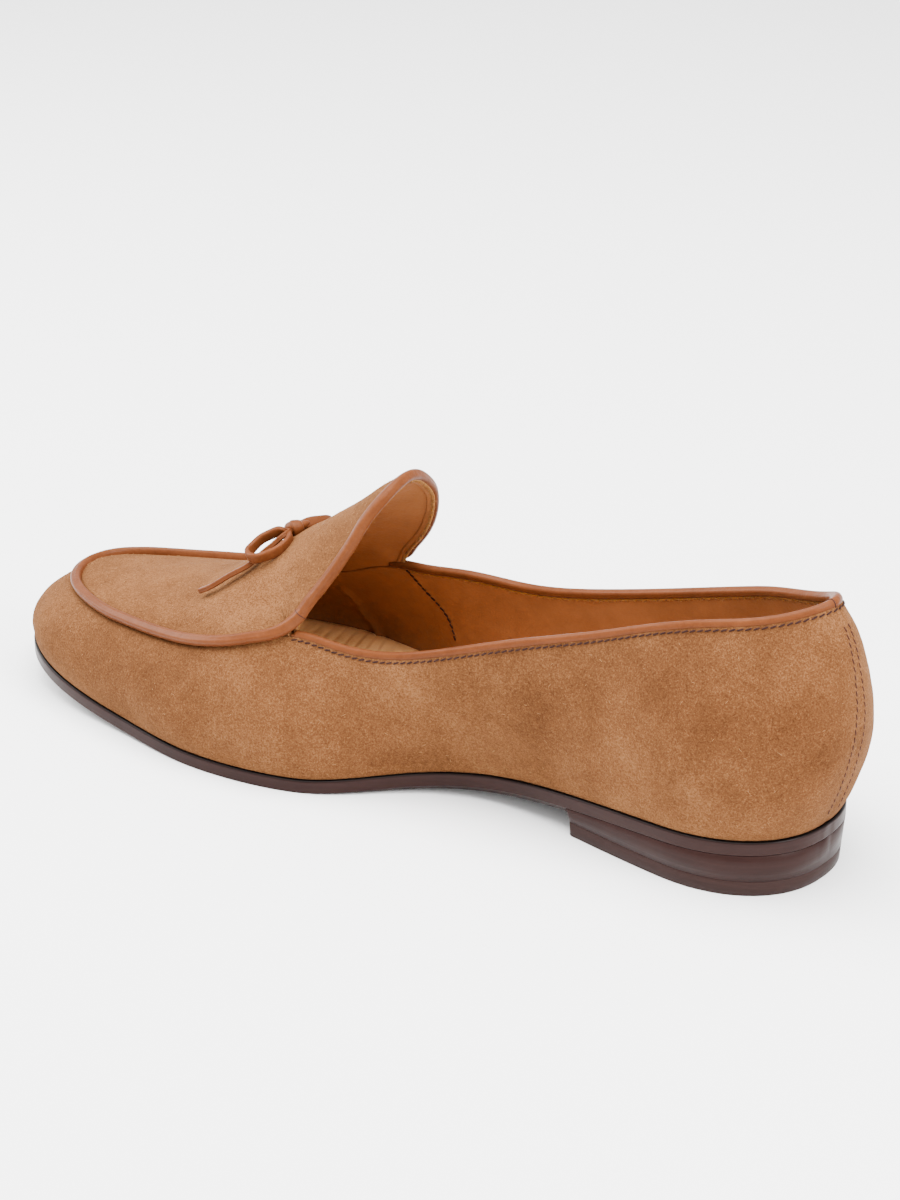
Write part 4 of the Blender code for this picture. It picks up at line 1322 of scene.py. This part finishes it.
def raw_hide():
    """The fibrous cut edge of undyed calf."""
    hide = Finish("raw_hide", {"Roughness": 0.9, "Specular IOR Level": 0.05, "Sheen Weight": 0.1})
    grain = hide.noise(0.0005, 3.0, 0.7)
    hide.colour(hide.ramp(grain, (0.25, HIDE_DARK), (0.75, HIDE_LIGHT)))
    hide.relief((grain, 0.0003))
    return hide.material


RAW_HIDE = raw_hide()


def ragged_edge(name, line, seed):
    """A thin uneven lip along a line, with loose fibres that stand off it in every direction."""
    where, run, down, out = (line[:, i : i + 3] for i in (0, 3, 6, 9))
    far = np.linspace(0, len(line) * 0.35, len(line))
    uneven = np.sin(far * 1.9 + seed) * np.sin(far * 0.73) + 0.6 * np.sin(far * 4.3 + 2 * seed)
    thick = 0.00020 * (1 + 0.5 * uneven)[:, None]
    section = np.stack([thick * 1.7 * np.cos(turns(10)), thick * np.sin(turns(10))], -1)
    grid = carried(where + down * (0.00022 * uneven)[:, None], out, section)
    piece(name, grid, tube_faces(*grid.shape[:2]), RAW_HIDE, "sock_leather")
    chance = np.random.default_rng(seed)
    at = chance.integers(0, len(line), EDGE_HAIRS)
    lean = chance.normal(size=(EDGE_HAIRS, 3)) * (0.9, 0.5, 0.35) + (0, 0.7, 0.2)
    long = unit(run[at] * lean[:, :1] + down[at] * lean[:, 1:2] + out[at] * lean[:, 2:])
    wide = unit(np.cross(long, out[at] + 0.01))
    half = chance.uniform(0.0002, 0.0007, (EDGE_HAIRS, 1))
    start = where[at] + down[at] * chance.uniform(-0.0002, 0.0003, (EDGE_HAIRS, 1))
    tall = unit(np.cross(long, wide)) * HAIR_FAT
    long = long * half
    wide = wide * HAIR_FAT
    spindles(name + "_fibres", start + long, long, wide, tall, RAW_HIDE, "sock_leather", HAIR_SIDES)


def raw_edges():
    """The raw edge inside the collar, and those behind the tongue's two sides."""
    share = np.linspace(0.02, THROAT_SHARE * 0.985, 900)
    for name, side, seed in (("raw_edge_inner", INNER, 1), ("raw_edge_outer", OUTER, 2)):
        rim, run, down, face = collar_edge(side, share)
        line = rim + down * 0.0011 - face * (WALL + 0.0001)
        ragged_edge(name, np.column_stack([line, run, down, -face]), seed)
    for name, side, seed in (("tongue_raw_inner", INNER, 3), ("tongue_raw_outer", OUTER, 4)):
        rim, off, face = (values[6:] for values in TONGUE_RIMS[side])
        run = unit(np.gradient(rim, axis=0))
        line = rim + off * 0.0014 - face * (WALL + 0.0005)
        ragged_edge(name, evenly(np.column_stack([line, run, -off, -face]), 0.0002), seed)
        lip = np.stack([np.cos(turns(16)), np.sin(turns(16))], -1) * LIP_HALVES
        grid = carried(rim + off * 0.0003 - face * (WALL + 0.0001), -face, lip)
        piece(name.replace("raw", "lip"), grid, tube_faces(*grid.shape[:2]), LINING, "sock_leather")


raw_edges()


# The bow: a narrow lace of the binding's calf, folded flat, tied in a small bow that stands on the
# apron below the tongue. Its loops stand on edge, and its tails hang down to cut ends.
LACE_WIDE = 0.0038
LACE_THICK = 0.0018
LACE_TIP = 0.0024
LACE_STEPS = 180
LACE_SIDES = 28
KNOT_CENTRE = np.array([0.1585, 0.0, 0.0680])
KNOT_ALONG = unit(np.array([0.45, 0.86, -0.22]))
KNOT_OUT = np.array([0.62, 0.0, 0.78])
KNOT_HALVES = (0.0022, 0.0018, 0.0054)
KNOT_REACH = 0.0030
KNOT_SIDES, KNOT_LEVELS = 40, 22
WRAP_HALF = 0.0006
SLIT_DEPTH, SLIT_HALF = 0.00022, 0.22

# The knot's two wraps: slant, shift, half width and how far each stands off the core
KNOT_WRAPS = ((0.25, -0.0006, 0.0019, 1.18), (-0.55, 0.0014, 0.0013, 1.05))

# A few points of the middle of each piece of lace, in millimetres
BOW_LACES = {
    "bow_loop_inner": (
        (160.6, 4.9, 68.7), (163.1, 6.4, 67.6), (165.9, 9.5, 65.8), (166.8, 12.3, 64.2),
        (166.8, 14.6, 63.5), (164.7, 17.2, 63.2), (161.8, 17.6, 63.4), (159.9, 15.8, 63.9),
        (157.4, 13.2, 65.0), (155.9, 10.4, 66.4), (155.6, 8.0, 67.3),
    ),
    "bow_loop_outer": (
        (156.4, -5.9, 68.6), (155.2, -8.3, 68.3), (154.4, -10.8, 67.8), (154.3, -13.6, 66.6),
        (155.4, -16.8, 63.8), (158.0, -18.6, 61.2), (160.8, -17.8, 60.4), (161.6, -14.8, 61.8),
        (161.0, -11.4, 63.9), (160.0, -8.6, 65.6),
    ),
    "bow_tail_inner": (
        (158.9, 6.6, 67.8), (159.8, 8.2, 66.7), (160.9, 10.0, 65.3), (162.4, 12.0, 63.7),
        (164.2, 14.1, 61.5), (165.6, 16.4, 59.8), (169.5, 19.2, 57.1), (172.7, 20.9, 54.8),
        (175.7, 22.8, 52.5), (180.2, 23.4, 49.9),
    ),
    "bow_tail_outer": (
        (160.9, -4.6, 66.4), (163.8, -8.6, 63.3), (167.0, -12.2, 59.2), (171.0, -15.6, 54.7),
        (175.4, -18.6, 50.4), (180.0, -20.6, 47.4), (183.6, -21.4, 45.6),
    ),
}


def knot():
    """The knot: a pressed ball of lace, wrapped once across by the lace's flat, and once aslant under it."""
    out = unit(KNOT_OUT - KNOT_ALONG * (KNOT_OUT @ KNOT_ALONG))
    beside = np.cross(out, KNOT_ALONG)
    turn = turns(KNOT_SIDES)
    level = np.linspace(0, math.pi, KNOT_LEVELS)[:, None, None]
    round_way = np.cos(turn)[:, None] * beside * KNOT_HALVES[0] + np.sin(turn)[:, None] * out * KNOT_HALVES[1]
    core = np.cos(level) * KNOT_ALONG * KNOT_HALVES[2] + np.maximum(np.sin(level), 0.02) * round_way
    grids, faces = [(KNOT_CENTRE + core).reshape(-1, 3)], tube_faces(KNOT_LEVELS, KNOT_SIDES)
    start, section = KNOT_LEVELS * KNOT_SIDES, turns(LACE_SIDES)
    for slant, shift, wide, swell in KNOT_WRAPS:
        ring = round_way * swell + KNOT_ALONG * (shift + slant * KNOT_HALVES[0] * np.cos(turn + 0.6))[:, None]
        flat = np.stack([wide * squared(np.cos(section), 0.6), WRAP_HALF * np.sin(section)], -1)
        band = carried(KNOT_CENTRE + ring, unit(ring), flat, closed=True)
        grids.append(band.reshape(-1, 3))
        faces += tube_faces(KNOT_SIDES, LACE_SIDES, closed=True, start=start)
        start += KNOT_SIDES * LACE_SIDES
    return piece("lace_knot", np.concatenate(grids), faces, BINDING, "binding_leather", ["bow_knot"])


def lace(node, loop):
    """One piece of lace: a rounded flat section along the smooth curve through its points.

    It starts inside the knot, and a loop ends there too. On a loop the flat faces away from the loop's
    middle. On a tail it faces out of the apron, and narrows to its cut end. Gives the piece, the points
    that it follows and its length.
    """
    points = np.array(BOW_LACES[node]) / 1000
    start = KNOT_CENTRE + KNOT_ALONG * KNOT_REACH * np.sign(points[0, 1])
    ends = [start - (0, 0, WRAP_HALF)] if loop else []
    curve, places = curve_through(np.array([start, *points, *ends]), LACE_STEPS)
    out = unit(curve - curve.mean(0)) if loop else np.broadcast_to(KNOT_OUT, curve.shape)
    wide = np.interp(places, (0, places[-1]), (LACE_WIDE, LACE_WIDE if loop else LACE_TIP))
    turn = turns(LACE_SIDES)
    slit = SLIT_DEPTH * bell(np.sin(turn), SLIT_HALF) * np.sign(np.cos(turn))
    tall = squared(np.sin(turn), 0.7) * LACE_THICK / 2
    across = wide[:, None] / 2 * squared(np.cos(turn), 0.55) - slit
    grid = carried(curve, out, np.stack([across, np.broadcast_to(tall, across.shape)], -1))
    faces = tube_faces(LACE_STEPS, LACE_SIDES)
    band = piece(node + "_lace", grid, faces, BINDING, "binding_leather", [node], sharp=60)
    return band, curve, places[-1]


def bow():
    """The knot, then both loops and both tails, each made as a lace through its points."""
    tied = knot()
    for node in BOW_LACES:
        loop = node.startswith("bow_loop")
        band, curve, length = lace(node, loop)


bow()


# The floor and the light: a plain white floor without a horizon, a broad soft box overhead and two
# weaker ones before the toe and behind the heel, as in a product studio.
FLOOR_SIZE = 6.0
FLOOR_WHITE = (0.92, 0.92, 0.92, 1.0)
WORLD_WHITE, WORLD_STRENGTH = (1.0, 1.0, 1.0, 1.0), 1.75
# Each soft box: its place, the point it is aimed at, its width and its power
SOFT_BOXES = {
    "overhead": ((0.10, 0.10, 1.20), (0.10, 0.0, 0.0), 1.2, 64.0),
    "toe_side": ((1.20, 0.15, 0.70), (0.15, 0.0, 0.03), 0.7, 24.0),
    "heel_side": ((-0.85, 0.12, 0.72), (0.10, 0.0, 0.03), 0.5, 18.0),
}


def floor():
    """A flat white sheet under the shoe."""
    white = Finish("white_floor", {"Roughness": 0.9, "Base Color": FLOOR_WHITE})
    half = FLOOR_SIZE / 2
    mesh = bpy.data.meshes.new("floor")
    corners = [(-half, -half, 0), (half, -half, 0), (half, half, 0), (-half, half, 0)]
    mesh.from_pydata(corners, [], [(0, 1, 2, 3)])
    mesh.materials.append(white.material)
    placed("floor", mesh)


def soft_box(name, place, aim, size, power):
    """A square area light at a place, turned to aim at a point."""
    data = bpy.data.lights.new(name, "AREA")
    data.shape = "SQUARE"
    data.size = size
    data.energy = power
    ahead = unit(np.array(aim) - place)
    right = unit(np.cross(ahead, (0.0, 1.0, 0.001)))
    set_up(placed(name, data), np.array(place), right, np.cross(right, ahead), ahead)


def studio_world():
    """Even white light from all round."""
    world = bpy.data.worlds.new("studio")
    world.use_nodes = True
    light = world.node_tree.nodes["Background"].inputs
    light["Color"].default_value = WORLD_WHITE
    light["Strength"].default_value = WORLD_STRENGTH
    bpy.context.scene.world = world


floor()
for box, setting in SOFT_BOXES.items():
    soft_box(box, *setting)
studio_world()
